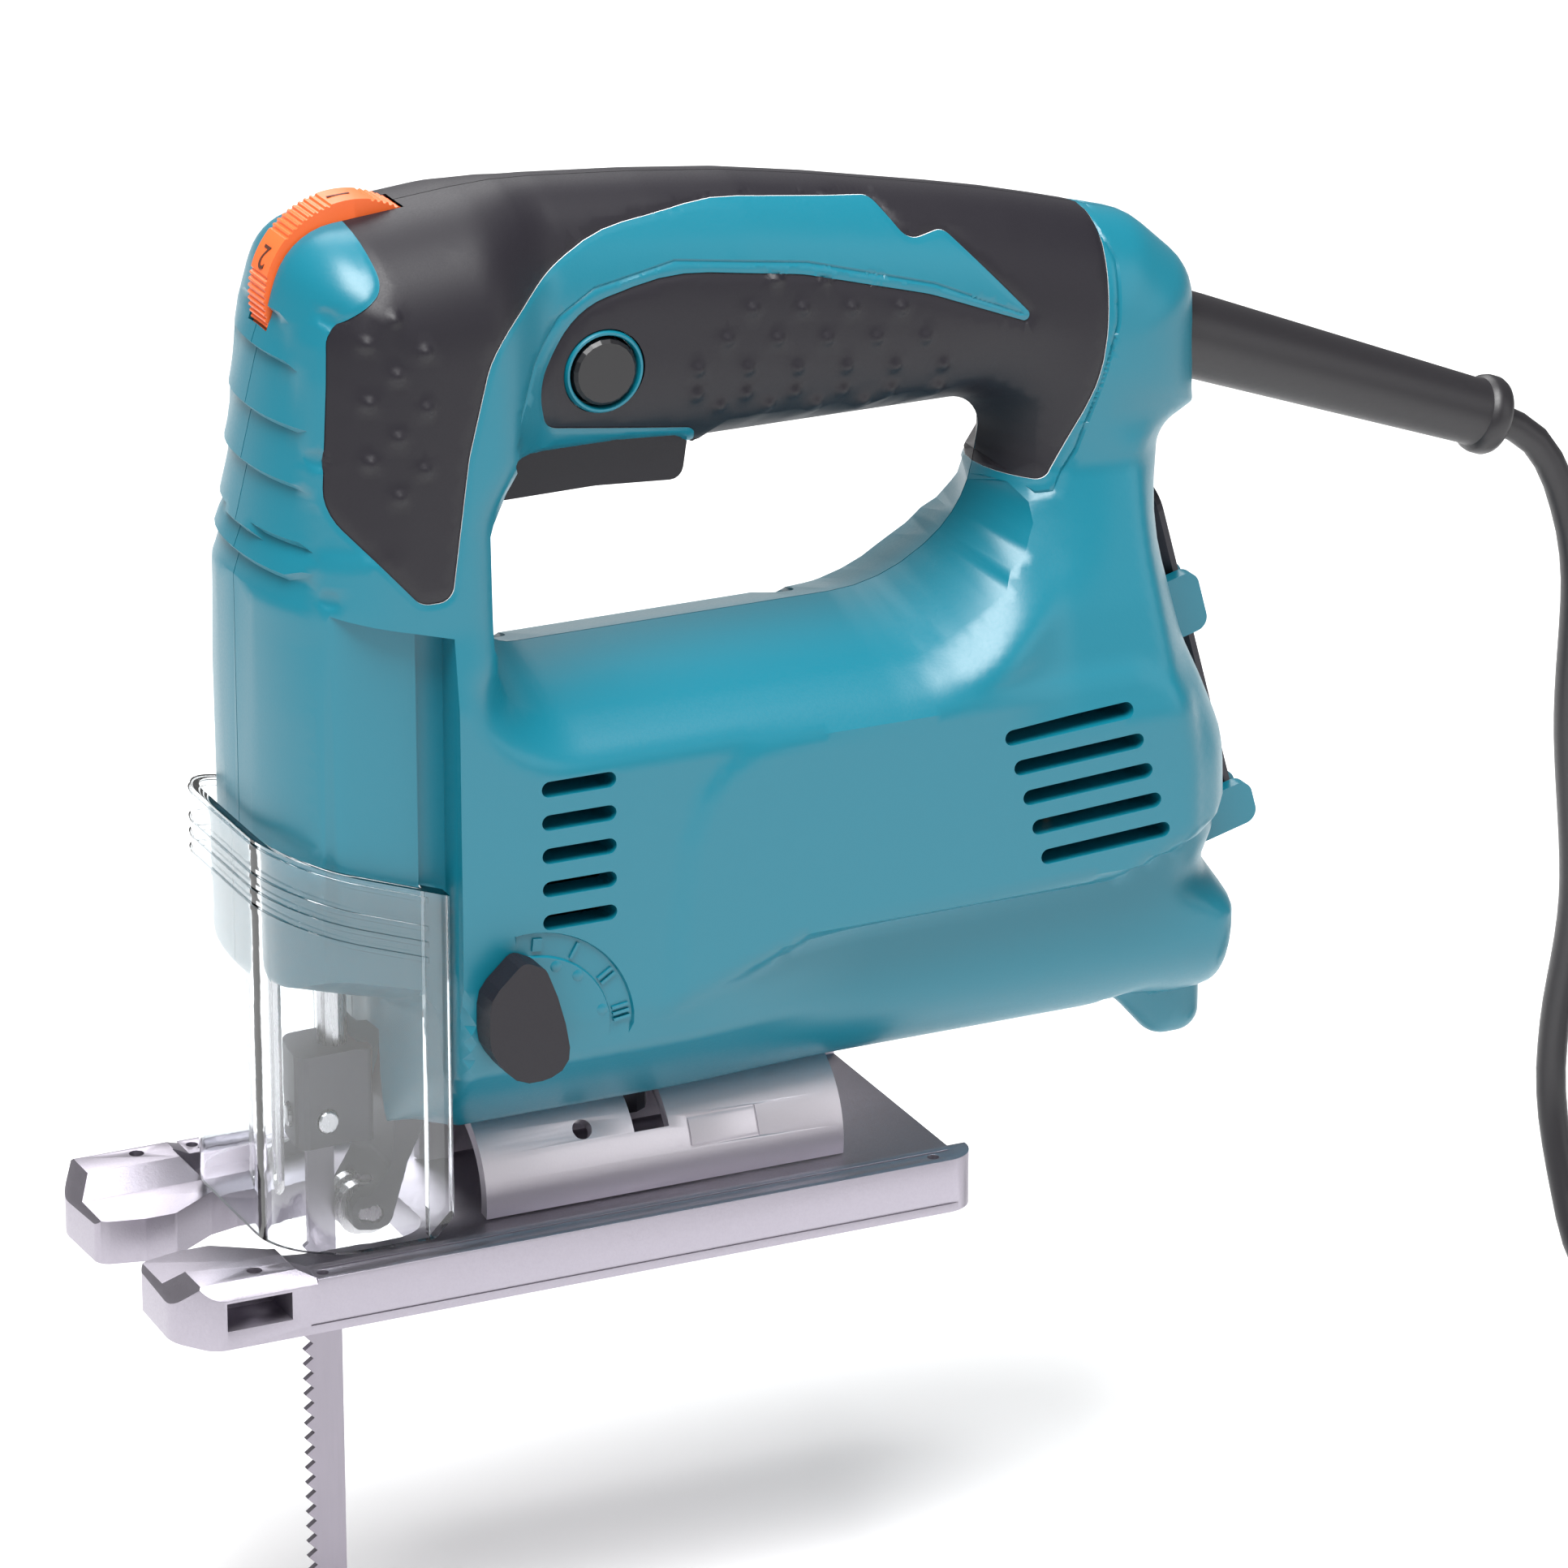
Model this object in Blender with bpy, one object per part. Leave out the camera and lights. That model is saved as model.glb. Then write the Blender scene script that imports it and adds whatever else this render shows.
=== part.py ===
"""A corded jigsaw: clamshell housing, motor, crank drive, plunger and blade, tilting shoe and mains lead.

Metres, +Z up. The blade end faces -X, the left side faces -Y, and the shoe's sole is the plane z = 0.
"""

import math

import bmesh
import bpy
import numpy as np
from mathutils import Matrix, Vector
from mathutils.geometry import delaunay_2d_cdt

MM = 0.001
DEGREE = math.pi / 180

# ---- driving dimensions -------------------------------------------------------------------------
X_AXIS, Y_AXIS, Z_AXIS = (1, 0, 0), (0, 1, 0), (0, 0, 1)
GAP = 0.3 * MM  # left between pieces that touch
PRESS = 0.1 * MM  # left between a pressed ring and its shaft
SLIDE_GAP = 0.5 * MM  # left between pieces that slide or turn

# Housing: the outline in the plane of the blade, and half widths across it.
NOSE_X = -54 * MM
COLUMN_BOTTOM = 58 * MM
CHAMBER_REAR_X = -31 * MM
BODY_BOTTOM = 24.5 * MM
BODY_REAR_X = 138 * MM
SPOUT_REAR_X = 140 * MM
FOOT_BOTTOM = 12.5 * MM
SILL_Z = 112 * MM
OPENING_TOP = 146 * MM
OPENING_FRONT_X = -9 * MM
OPENING_REAR_X = 94 * MM
HANDLE_TOP = 199 * MM
HANDLE_REAR_X = 134.5 * MM
BODY_HALF = 31 * MM
COLUMN_HALF = 25.5 * MM
HEAD_HALF = 29 * MM
HANDLE_HALF = 17 * MM
PILLAR_HALF = 16 * MM
TUBE_HALF = 24 * MM
SHELF_Z = 126 * MM
COVER_GROOVE_X = -30 * MM
COVER_GROOVE_REAR_X = -24 * MM
COLUMN_CORNER_R = 19 * MM
SHELF_SLOPE = 0.28
COVER_GROOVE_HALF = 23.5 * MM
SKIN = 1.4 * MM  # thickness of the moulded-on soft grip

# Motor and drive.
MOTOR_Z = 72 * MM
STATOR_R = 25 * MM
STATOR_BORE_R = 15.4 * MM
STATOR_FRONT_X = 26 * MM
STATOR_LENGTH = 38 * MM
COIL_LENGTH = 7 * MM
CORE_R = 14.6 * MM
SHAFT_R = 4 * MM
COMMUTATOR_R = 10 * MM
COMMUTATOR_X = 86 * MM
COMMUTATOR_LENGTH = 13 * MM
FAN_R = 22.5 * MM
FAN_X = -5 * MM
FAN_WIDTH = 11 * MM
BEARING_R = 9.5 * MM
BEARING_WIDTH = 6 * MM
FRONT_BEARING_X = -13.5 * MM
REAR_BEARING_X = 106 * MM
GEAR_MODULE = 0.875 * MM
GEAR_TEETH = 40
PINION_TEETH = 8
GEAR_X = -22 * MM
GEAR_WIDTH = 6.5 * MM
GEAR_AXLE_R = 3.5 * MM
STROKE = 18 * MM
CRANK_PIN_R = 2.5 * MM

# Plunger, clamp and blade.
ROD_X = -36 * MM
ROD_R = 3.3 * MM
ROD_BOTTOM = 33 * MM
ROD_TOP = 152 * MM
ROD_CLEARANCE = 0.1 * MM
CROSSHEAD_HEIGHT = 12 * MM
CLAMP_BOTTOM = 23 * MM
CLAMP_TOP = 41 * MM
CLAMP_HALF = 6.5 * MM
BLADE_BACK_X = -36.4 * MM
BLADE_WIDTH = 7.5 * MM
BLADE_THICKNESS = 1.3 * MM
BLADE_TIP = -75 * MM
TOOTH_PITCH = 3 * MM
TOOTH_DEPTH = 1.7 * MM

# Shoe and its bevel support.
SHOE_HALF = 34.5 * MM
SHOE_REAR_X = 77.3 * MM
SHOE_FRONT_X = -80 * MM
PLATE_TOP = 7 * MM
FLANGE_TOP = 10.5 * MM
FLANGE_WIDTH = 6.5 * MM
TINE_TOP = 12 * MM
TINE_INNER_Y = 14 * MM
TINE_REAR_X = -58 * MM
TINE_GAP_HALF = 8 * MM
BLADE_BAY_HALF = 15.5 * MM
BLADE_BAY_REAR_X = -24 * MM
FENCE_SLOT_X = (-72.5 * MM, -59.5 * MM)
FENCE_SLOT_Z = (3.6 * MM, 9 * MM)
SUPPORT_AXIS_Z = 10 * MM
SUPPORT_R = 16.6 * MM
SUPPORT_WALL = 2.5 * MM
SUPPORT_X = (-14 * MM, 58 * MM)
BOLT_X = 20 * MM
BOLT_R = 3 * MM

# Cover, controls and trim.
COVER_WALL = 2 * MM
COVER_BOTTOM = 11 * MM
COVER_TOP_FRONT = 95 * MM
COVER_TOP_SIDE = 77 * MM
COVER_REAR_X = -25 * MM
TRIGGER_X = (-7.5 * MM, 31 * MM)
TRIGGER_Z = (141 * MM, 156 * MM)
TRIGGER_HALF = 8 * MM
BUTTON_X = 10.5 * MM
BUTTON_Z = 166.6 * MM
BUTTON_R = 6.1 * MM
DIAL_X = -31.6 * MM
DIAL_Z = 183.2 * MM
DIAL_R = 17 * MM
DIAL_WIDTH = 7.4 * MM
LEVER_X = -11.5 * MM
LEVER_Z = 47.5 * MM
LEVER_SHAFT_R = 4 * MM
WRENCH_FOOT = (145.2 * MM, 59.5 * MM)
WRENCH_TOP = (128.6 * MM, 121.5 * MM)
WRENCH_R = 1.7 * MM

# Mains lead.
CORD_DIAMETER = 6 * MM
GUARD_START = (136.5 * MM, 151 * MM)
GUARD_END = (202 * MM, 125.5 * MM)
GUARD_R = (7.9 * MM, 6.4 * MM)
GUARD_ROOT = 12 * MM
GUARD_FLANGE_R = 7.6 * MM
FLOOR_Z = -78 * MM
COIL_X = 272 * MM
COIL_Y = -15 * MM
COIL_COLUMNS = 3
COIL_LAYERS = 3
COIL_MIDDLE_R = 35 * MM
PLUG_LENGTH = 46 * MM
PLUG_R = 13 * MM


# ---- materials ----------------------------------------------------------------------------------
def material(name, colour, roughness, metallic=0.0, alpha=1.0):
    made = bpy.data.materials.new(name)
    made.use_nodes = True
    shader = made.node_tree.nodes["Principled BSDF"]
    shader.inputs["Base Color"].default_value = (*colour, 1.0)
    shader.inputs["Roughness"].default_value = roughness
    shader.inputs["Metallic"].default_value = metallic
    shader.inputs["Alpha"].default_value = alpha
    made.diffuse_color = (*colour, alpha)
    return made


for leftover in list(bpy.data.objects):
    bpy.data.objects.remove(leftover, do_unlink=True)

TEAL = material("teal_nylon", (0.03, 0.24, 0.30), 0.45)
SOFT = material("charcoal_elastomer", (0.026, 0.022, 0.032), 0.65)
CLEAR = material("clear_polycarbonate", (0.85, 0.88, 0.9), 0.08, 0.0, 0.3)
CAST = material("die_cast_aluminium", (0.35, 0.33, 0.37), 0.45, 1.0)
PLATE = material("pressed_aluminium", (0.62, 0.60, 0.64), 0.35, 1.0)
STEEL = material("ground_steel", (0.45, 0.44, 0.46), 0.3, 1.0)
DARK_STEEL = material("blackened_steel", (0.05, 0.05, 0.055), 0.45, 0.9)
BLACK = material("black_nylon", (0.012, 0.011, 0.013), 0.4)
CORD_BLACK = material("black_pvc", (0.015, 0.014, 0.016), 0.5)
ORANGE = material("orange_acetal", (0.85, 0.22, 0.06), 0.4)
COPPER = material("copper", (0.55, 0.22, 0.10), 0.35, 1.0)
BRASS = material("brass", (0.55, 0.40, 0.15), 0.35, 1.0)
CARBON = material("carbon", (0.02, 0.02, 0.02), 0.7)
WHITE = material("white_nylon", (0.6, 0.6, 0.58), 0.5)


# ---- mesh helpers -------------------------------------------------------------------------------
def add_object(name, mesh, made, smooth_degrees=35):
    mesh.materials.append(made)
    mesh.shade_smooth()
    mesh.set_sharp_from_angle(angle=smooth_degrees * DEGREE)
    obj = bpy.data.objects.new(name, mesh)
    bpy.context.collection.objects.link(obj)
    return obj


def mesh_from(name, points, faces):
    mesh = bpy.data.meshes.new(name)
    mesh.from_pydata([tuple(map(float, p)) for p in points], [], faces)
    box = bmesh.new()
    box.from_mesh(mesh)
    bmesh.ops.remove_doubles(box, verts=box.verts, dist=0.01 * MM)
    bmesh.ops.recalc_face_normals(box, faces=box.faces)
    box.to_mesh(mesh)
    box.free()
    return mesh


def as_cutter(obj):
    obj.hide_render = True
    obj.display_type = "WIRE"
    return obj


def boolean(obj, others, operation="DIFFERENCE"):
    for other in others:
        modifier = obj.modifiers.new(other.name, "BOOLEAN")
        modifier.operation = operation
        modifier.solver = "EXACT"
        modifier.object = other
    return obj


def shell_boolean(obj, others, operation="DIFFERENCE"):
    """For the curved half shells, where EXACT leaves open edges."""
    boolean(obj, others, operation)
    for modifier in obj.modifiers:
        modifier.solver = "MANIFOLD"
    return obj


def rounded(corners, step_degrees=15):
    """A closed outline from (a, b, radius) corners, with each corner turned into an arc."""
    outline = []
    count = len(corners)
    for i in range(count):
        here = Vector(corners[i][:2])
        before = Vector(corners[i - 1][:2]) - here
        after = Vector(corners[(i + 1) % count][:2]) - here
        half_angle = before.angle(after) / 2
        reach = min(before.length, after.length) * 0.49
        radius = min(corners[i][2], reach * math.tan(half_angle))
        turn = math.pi - 2 * half_angle
        if radius < 0.05 * MM or turn < 2 * DEGREE:
            outline.append(tuple(here))
            continue
        inward = (before.normalized() + after.normalized()).normalized()
        centre = here + inward * radius / math.sin(half_angle)
        start = here + before.normalized() * radius / math.tan(half_angle) - centre
        steps = max(2, math.ceil(turn / (step_degrees * DEGREE)))
        side = 1 if before.cross(after) < 0 else -1
        for k in range(steps + 1):
            angle = side * turn * k / steps
            spun = Matrix.Rotation(angle, 2) @ start
            outline.append(tuple(centre + spun))
    return outline


def prism(name, outline, low, high, axis, made):
    """A flat outline pushed out along an axis: 'x' takes (y, z) points, 'y' takes (x, z), 'z' takes (x, y)."""
    place = {
        "x": lambda a,
        b,
        t: (t, a, b),
        "y": lambda a,
        b,
        t: (a, t, b),
        "z": lambda a,
        b,
        t: (a, b, t),
    }[axis]
    count = len(outline)
    points = [place(a, b, low) for a, b in outline] + [place(a, b, high) for a, b in outline]
    faces = [list(range(count)), list(range(count, 2 * count))]
    faces += [[i, (i + 1) % count, count + (i + 1) % count, count + i] for i in range(count)]
    return add_object(name, mesh_from(name, points, faces), made)


def block(name, x, y, z, made):
    return prism(
        name, [(x[0], y[0]), (x[1], y[0]), (x[1], y[1]), (x[0], y[1])], z[0], z[1], "z", made
    )


def slot_outline(a, b, half, steps=4):
    """A stadium from point a to point b with round ends of radius half."""
    start, end = Vector(a), Vector(b)
    heading = math.atan2(end.y - start.y, end.x - start.x)
    outline = []
    for centre, first in ((end, heading - math.pi / 2), (start, heading + math.pi / 2)):
        for k in range(steps + 1):
            angle = first + math.pi * k / steps
            outline.append((centre.x + half * math.cos(angle), centre.y + half * math.sin(angle)))
    return outline


def turned(name, profile, origin, axis, made, sides=24):
    """A lathe-turned solid: (radius, along) points, closed through the axis or as a ring."""
    along = Vector(axis).normalized()
    across = along.orthogonal().normalized()
    other = along.cross(across)
    points, rows = [], []
    for radius, distance in profile:
        centre = Vector(origin) + along * distance
        if radius < 1e-9:
            rows.append([len(points)] * sides)
            points.append(tuple(centre))
            continue
        rows.append(list(range(len(points), len(points) + sides)))
        for k in range(sides):
            angle = 2 * math.pi * k / sides
            points.append(
                tuple(centre + across * radius * math.cos(angle) + other * radius * math.sin(angle))
            )
    faces = []
    for i in range(len(rows)):
        first, second = rows[i], rows[(i + 1) % len(rows)]
        for k in range(sides):
            n = (k + 1) % sides
            face = [first[k], first[n], second[n], second[k]]
            face = [v for j, v in enumerate(face) if v != face[j - 1]]
            if len(face) > 2:
                faces.append(face)
    return add_object(name, mesh_from(name, points, faces), made)


def disc(name, radius, origin, axis, length, made, sides=24, chamfer=0.0):
    profile = [(0, 0), (radius - chamfer, 0), (radius, chamfer), (radius, length - chamfer)]
    profile += [(radius - chamfer, length), (0, length)]
    if chamfer == 0:
        profile = [(0, 0), (radius, 0), (radius, length), (0, length)]
    return turned(name, profile, origin, axis, made, sides)


def ring(name, outer, inner, origin, axis, length, made, sides=24):
    profile = [(inner, 0), (outer, 0), (outer, length), (inner, length)]
    return turned(name, profile, origin, axis, made, sides)


def tube_along(name, points, radius, made, resolution=2):
    curve = bpy.data.curves.new(name, "CURVE")
    curve.dimensions = "3D"
    curve.bevel_depth = radius
    curve.bevel_resolution = resolution
    curve.use_fill_caps = True
    spline = curve.splines.new("POLY")
    spline.points.add(len(points) - 1)
    for target, point in zip(spline.points, points):
        target.co = (*point, 1.0)
    curve.materials.append(made)
    obj = bpy.data.objects.new(name, curve)
    bpy.context.collection.objects.link(obj)
    return obj


def smooth_route(knots, spacing):
    """Points at an even spacing along a Catmull-Rom curve through the knots."""
    ends = [2 * Vector(knots[0]) - Vector(knots[1])] + [Vector(k) for k in knots]
    ends.append(2 * Vector(knots[-1]) - Vector(knots[-2]))
    dense = []
    for a, b, c, d in zip(ends, ends[1:], ends[2:], ends[3:]):
        for k in range(40):
            t = k / 40
            dense.append(
                0.5 * (
                    2 * b + (c - a) * t + (2 * a - 5 * b + 4 * c - d) * t * t + (
                        3 * b - a - 3 * c + d
                    ) * t**3
                )
            )
    dense.append(ends[-2])
    lengths = np.cumsum([0.0] + [(q - p).length for p, q in zip(dense, dense[1:])])
    count = max(2, round(lengths[-1] / spacing) + 1)
    table = np.array([tuple(p) for p in dense])
    wanted = np.linspace(0, lengths[-1], count)
    return [tuple(np.interp(s, lengths, table[:, i]) for i in range(3)) for s in wanted]


# ---- the housing's shape ------------------------------------------------------------------------
def housing_outline():
    """The closed outline in the blade's plane, as (x, z, corner radius), blade end first."""
    return [
        (NOSE_X, COLUMN_BOTTOM, 3 * MM),
        (NOSE_X - 0.6 * MM, SHELF_Z + 6 * MM, 40 * MM),
        (NOSE_X + 4.5 * MM, SHELF_Z + 54 * MM, 60 * MM),
        (NOSE_X + 10 * MM, HANDLE_TOP - 3 * MM, 13 * MM),
        (NOSE_X + 50 * MM, HANDLE_TOP + 0.6 * MM, 90 * MM),
        (OPENING_FRONT_X + 50 * MM, HANDLE_TOP - 3.2 * MM, 300 * MM),
        (OPENING_REAR_X, HANDLE_TOP - 14 * MM, 300 * MM),
        (HANDLE_REAR_X - 12 * MM, HANDLE_TOP - 22 * MM, 14 * MM),
        (HANDLE_REAR_X, HANDLE_TOP - 33 * MM, 12 * MM),
        (HANDLE_REAR_X + 0.5 * MM, HANDLE_TOP - 59 * MM, 3 * MM),
        (HANDLE_REAR_X - 6.5 * MM, HANDLE_TOP - 63 * MM, 5 * MM),
        (HANDLE_REAR_X - 9 * MM, SILL_Z + 8 * MM, 40 * MM),
        (BODY_REAR_X - 8 * MM, SILL_Z - 13 * MM, 30 * MM),
        (BODY_REAR_X, SILL_Z - 32 * MM, 24 * MM),
        (BODY_REAR_X + 0.5 * MM, FOOT_BOTTOM + 46 * MM, 6 * MM),
        (SPOUT_REAR_X - 4 * MM, FOOT_BOTTOM + 40 * MM, 2 * MM),
        (SPOUT_REAR_X, FOOT_BOTTOM + 33 * MM, 6 * MM),
        (SPOUT_REAR_X, FOOT_BOTTOM, 5 * MM),
        (SPOUT_REAR_X - 10 * MM, FOOT_BOTTOM, 6 * MM),
        (SPOUT_REAR_X - 19 * MM, BODY_BOTTOM - 1.5 * MM, 12 * MM),
        (SPOUT_REAR_X - 32 * MM, BODY_BOTTOM, 20 * MM),
        (CHAMBER_REAR_X, BODY_BOTTOM, 2 * MM),
        (CHAMBER_REAR_X, COLUMN_BOTTOM - 6.5 * MM, 1 * MM),
    ]


def opening_outline():
    """The hand opening, as (x, z, corner radius)."""
    return [
        (OPENING_FRONT_X, SILL_Z, 9 * MM),
        (OPENING_REAR_X - 21 * MM, SILL_Z, 40 * MM),
        (OPENING_REAR_X - 4 * MM, SILL_Z + 12 * MM, 22 * MM),
        (OPENING_REAR_X, OPENING_TOP, 6 * MM),
        (OPENING_FRONT_X, OPENING_TOP, 4 * MM),
    ]


def divided(outline, longest):
    """The outline with its long edges divided."""
    points = []
    for a, b in zip(outline, outline[1:] + outline[:1]):
        pieces = max(1, math.ceil(math.dist(a, b) / longest))
        points += [tuple(np.add(a, np.subtract(b, a) * k / pieces)) for k in range(pieces)]
    return points


def distance_to(outline, x, z):
    """Distance from each point to a closed outline."""
    near = np.full(np.shape(x), 1e9)
    for (ax, az), (bx, bz) in zip(outline, outline[1:] + outline[:1]):
        dx, dz = bx - ax, bz - az
        t = np.clip(((x - ax) * dx + (z - az) * dz) / (dx * dx + dz * dz + 1e-18), 0, 1)
        near = np.minimum(near, np.hypot(x - ax - t * dx, z - az - t * dz))
    return near


def inside(outline, x, z):
    """Whether each point lies within a closed outline."""
    odd = np.zeros(np.shape(x), bool)
    for (ax, az), (bx, bz) in zip(outline, outline[1:] + outline[:1]):
        if az == bz:
            continue
        crosses = (az > z) != (bz > z)
        odd ^= crosses & (x < (bx - ax) * (z - az) / (bz - az) + ax)
    return odd


def ease(t):
    t = np.clip(t, 0, 1)
    return t * t * (3 - 2 * t)


def lerp(a, b, t):
    return a + (b - a) * t


def crown(t, power=2.2):
    """A rounded edge: 0 at the rim, 1 from t = 1 on, upright at the rim."""
    t = np.clip(t, 0, 1)
    return (1 - (1 - t) ** power) ** (1 / power)


OUTER = rounded(housing_outline(), 18)
OPENING = rounded(opening_outline(), 18)
RIM_ROWS = [2.2 * MM]  # how far in from the rim the rounded edge has points


def side_width(x, z):
    """The housing's half width away from its edges."""
    body = np.full(np.shape(x), BODY_HALF)
    rise = [0, 2.5 * MM, 11.5 * MM, 17.5 * MM, 25.5 * MM]
    narrowing = [18 * MM, 15.5 * MM, 6.5 * MM, 1.5 * MM, 0]
    taper = BODY_HALF - np.interp(z - BODY_BOTTOM, rise, narrowing)
    tube_z = BODY_BOTTOM + 18 * MM
    tube = TUBE_HALF * np.sqrt(np.clip(1 - ((z - tube_z) / (19 * MM)) ** 2, 0.05, 1))
    tube = np.where(z > tube_z, TUBE_HALF, tube)
    lower = lerp(taper, tube, ease((x - 20 * MM) / (40 * MM)))
    crease = np.interp(
        x, [14 * MM, 44 * MM, 108 * MM, 135 * MM], [48 * MM, 57 * MM, 58 * MM, 66 * MM]
    )
    body = lerp(lower, body, ease((z - crease) / (5 * MM) + 0.5))
    body = np.where(x < 14 * MM, taper, body)
    middle = np.where(z < (SILL_Z + OPENING_TOP) / 2, body, HANDLE_HALF)
    head = np.interp(z, [SILL_Z, SHELF_Z, HANDLE_TOP], [BODY_HALF, HEAD_HALF, HEAD_HALF - 3 * MM])
    front = np.where(z < SILL_Z, body, head)
    rear_z = [SILL_Z - 22 * MM, SILL_Z - 2 * MM, SILL_Z + 22 * MM, SILL_Z + 40 * MM]
    rear = np.interp(z, rear_z, [BODY_HALF, BODY_HALF - 6 * MM, PILLAR_HALF, HANDLE_HALF])
    rear = np.where(z < SILL_Z - 22 * MM, body, rear)
    width = lerp(front, middle, ease((x - OPENING_FRONT_X + 6 * MM) / (18 * MM)))
    width = lerp(width, rear, ease((x - OPENING_REAR_X + 14 * MM) / (20 * MM)))
    return width


def edge_reach(x, z):
    """How far the rounding of the outer edge runs in from the outline."""
    nose = 20 * MM * (1 - ease((x - NOSE_X - 24 * MM) / (14 * MM)))
    handle = 23 * MM * ease((z - SILL_Z - 18 * MM) / (14 * MM))
    rear = 20 * MM * ease((x - SPOUT_REAR_X + 34 * MM) / (20 * MM))
    tail = 12 * MM * ease((x - SPOUT_REAR_X + 30 * MM) / (20 * MM)) * ease(
        (BODY_BOTTOM + 30 * MM - z) / (10 * MM)
    )
    least = lerp(1.5 * MM, 6 * MM, ease((z - BODY_BOTTOM) / (20 * MM)))
    return np.maximum(np.maximum(nose, handle), np.maximum(rear - tail, least))


def half_width(x, z, inset=0.0):
    """How far the housing's side stands out from the blade's plane, with its skin taken off by inset."""
    width = side_width(x, z)
    outer = np.maximum(distance_to(OUTER, x, z) - inset, 0)
    rim = (width - inset) * crown(outer / (edge_reach(x, z) - inset))
    hole = np.maximum(distance_to(OPENING, x, z) - inset, 0)
    round_side = (width - inset) * crown(
        hole / (np.where(x < OPENING_FRONT_X, 12 * MM, 22 * MM) - inset)
    )
    sill_edge = 12.5 * MM * crown(hole / (3 * MM))
    sill = sill_edge + (width - inset - 12.5 * MM) * ease(hole / (15 * MM)) ** 0.8
    on_sill = ease((SILL_Z + 8 * MM - z) / (12 * MM))
    return np.minimum(rim, lerp(round_side, sill, on_sill))


def flatten_back(mesh, flat):
    """Joins the triangles of a half solid's flat back into as few faces as its outline needs."""
    box = bmesh.new()
    box.from_mesh(mesh)
    level = {f for f in box.faces if all(abs(abs(v.co.y) - flat) < 1e-7 for v in f.verts)}
    verts = [v for v in box.verts if all(f in level for f in v.link_faces)]
    edges = [e for e in box.edges if all(f in level for f in e.link_faces)]
    bmesh.ops.dissolve_limit(
        box, angle_limit=0.5 * DEGREE, use_dissolve_boundaries=False, verts=verts, edges=edges
    )
    bmesh.ops.triangulate(box, faces=box.faces)
    box.to_mesh(mesh)
    box.free()


def shaped_solid(name, side, inset, spacing, made, flat=GAP / 2):
    """One half of the housing's shape as a closed solid with a flat back near the blade's plane."""
    outline = divided(OUTER, spacing)
    hole = divided(OPENING, spacing)
    loops = [outline, hole]
    corners, edges = [], []
    for loop in loops:
        first = len(corners)
        corners += loop
        edges += [(first + i, first + (i + 1) % len(loop)) for i in range(len(loop))]
    rim_count = len(corners)
    low_x, high_x = min(p[0] for p in outline), max(p[0] for p in outline)
    low_z, high_z = min(p[1] for p in outline), max(p[1] for p in outline)
    extra = []
    row = 0
    z = low_z
    while z < high_z:
        x = low_x + (row % 2) * spacing / 2
        while x < high_x:
            extra.append((x, z))
            x += spacing
        z += spacing * 0.866
        row += 1
    grid = np.array(extra)
    from_rim = np.minimum(
        distance_to(OUTER, grid[:, 0], grid[:, 1]), distance_to(OPENING, grid[:, 0], grid[:, 1])
    )
    keep = inside(OUTER, grid[:, 0], grid[:, 1]) & ~inside(OPENING, grid[:, 0], grid[:, 1]) & (
        from_rim > spacing * 0.62
    )
    near = []
    for step in RIM_ROWS:
        for loop, sign in ((outline, -1), (hole, 1)):
            for i in range(len(loop)):
                a, b, c = Vector(loop[i - 1]), Vector(loop[i]), Vector(loop[(i + 1) % len(loop)])
                tangent = (c - a).normalized()
                near.append(b + Vector((-tangent.y, tangent.x)) * sign * step)
    turn = np.array([tuple(p) for p in near])
    ok = inside(OUTER, turn[:, 0], turn[:, 1]) & ~inside(OPENING, turn[:, 0], turn[:, 1])
    clear = np.minimum(
        distance_to(OUTER, turn[:, 0], turn[:, 1]), distance_to(OPENING, turn[:, 0], turn[:, 1])
    )
    wanted = np.repeat(RIM_ROWS, rim_count)
    ok &= clear > wanted * 0.9
    corners += [tuple(p) for p in turn[ok]] + [tuple(p) for p in grid[keep]]
    found = delaunay_2d_cdt([Vector(p) for p in corners], edges, [], 0, 1e-7)
    plan = np.array([tuple(p) for p in found[0]])
    triangles = np.array(found[2])
    middle = plan[triangles].mean(axis=1)
    on_rim = np.minimum(distance_to(OUTER, *plan.T), distance_to(OPENING, *plan.T)) < 1e-6
    keep = inside(OUTER, *middle.T) & ~inside(OPENING, *middle.T) & ~on_rim[triangles].all(axis=1)
    rise = np.maximum(half_width(plan[:, 0], plan[:, 1], inset), flat + 0.05 * MM)
    rise[on_rim] = flat
    points = [(x, side * y, z) for (x, z), y in zip(plan, rise)] + [
        (x, side * flat, z) for x, z in plan
    ]
    front = [list(map(int, t)) for t in triangles[keep]]
    back = [[v + len(plan) for v in face[::-1]] for face in front]
    mesh = mesh_from(name, points, front + back)
    flatten_back(mesh, flat)
    return add_object(name, mesh, made, 30)


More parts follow.
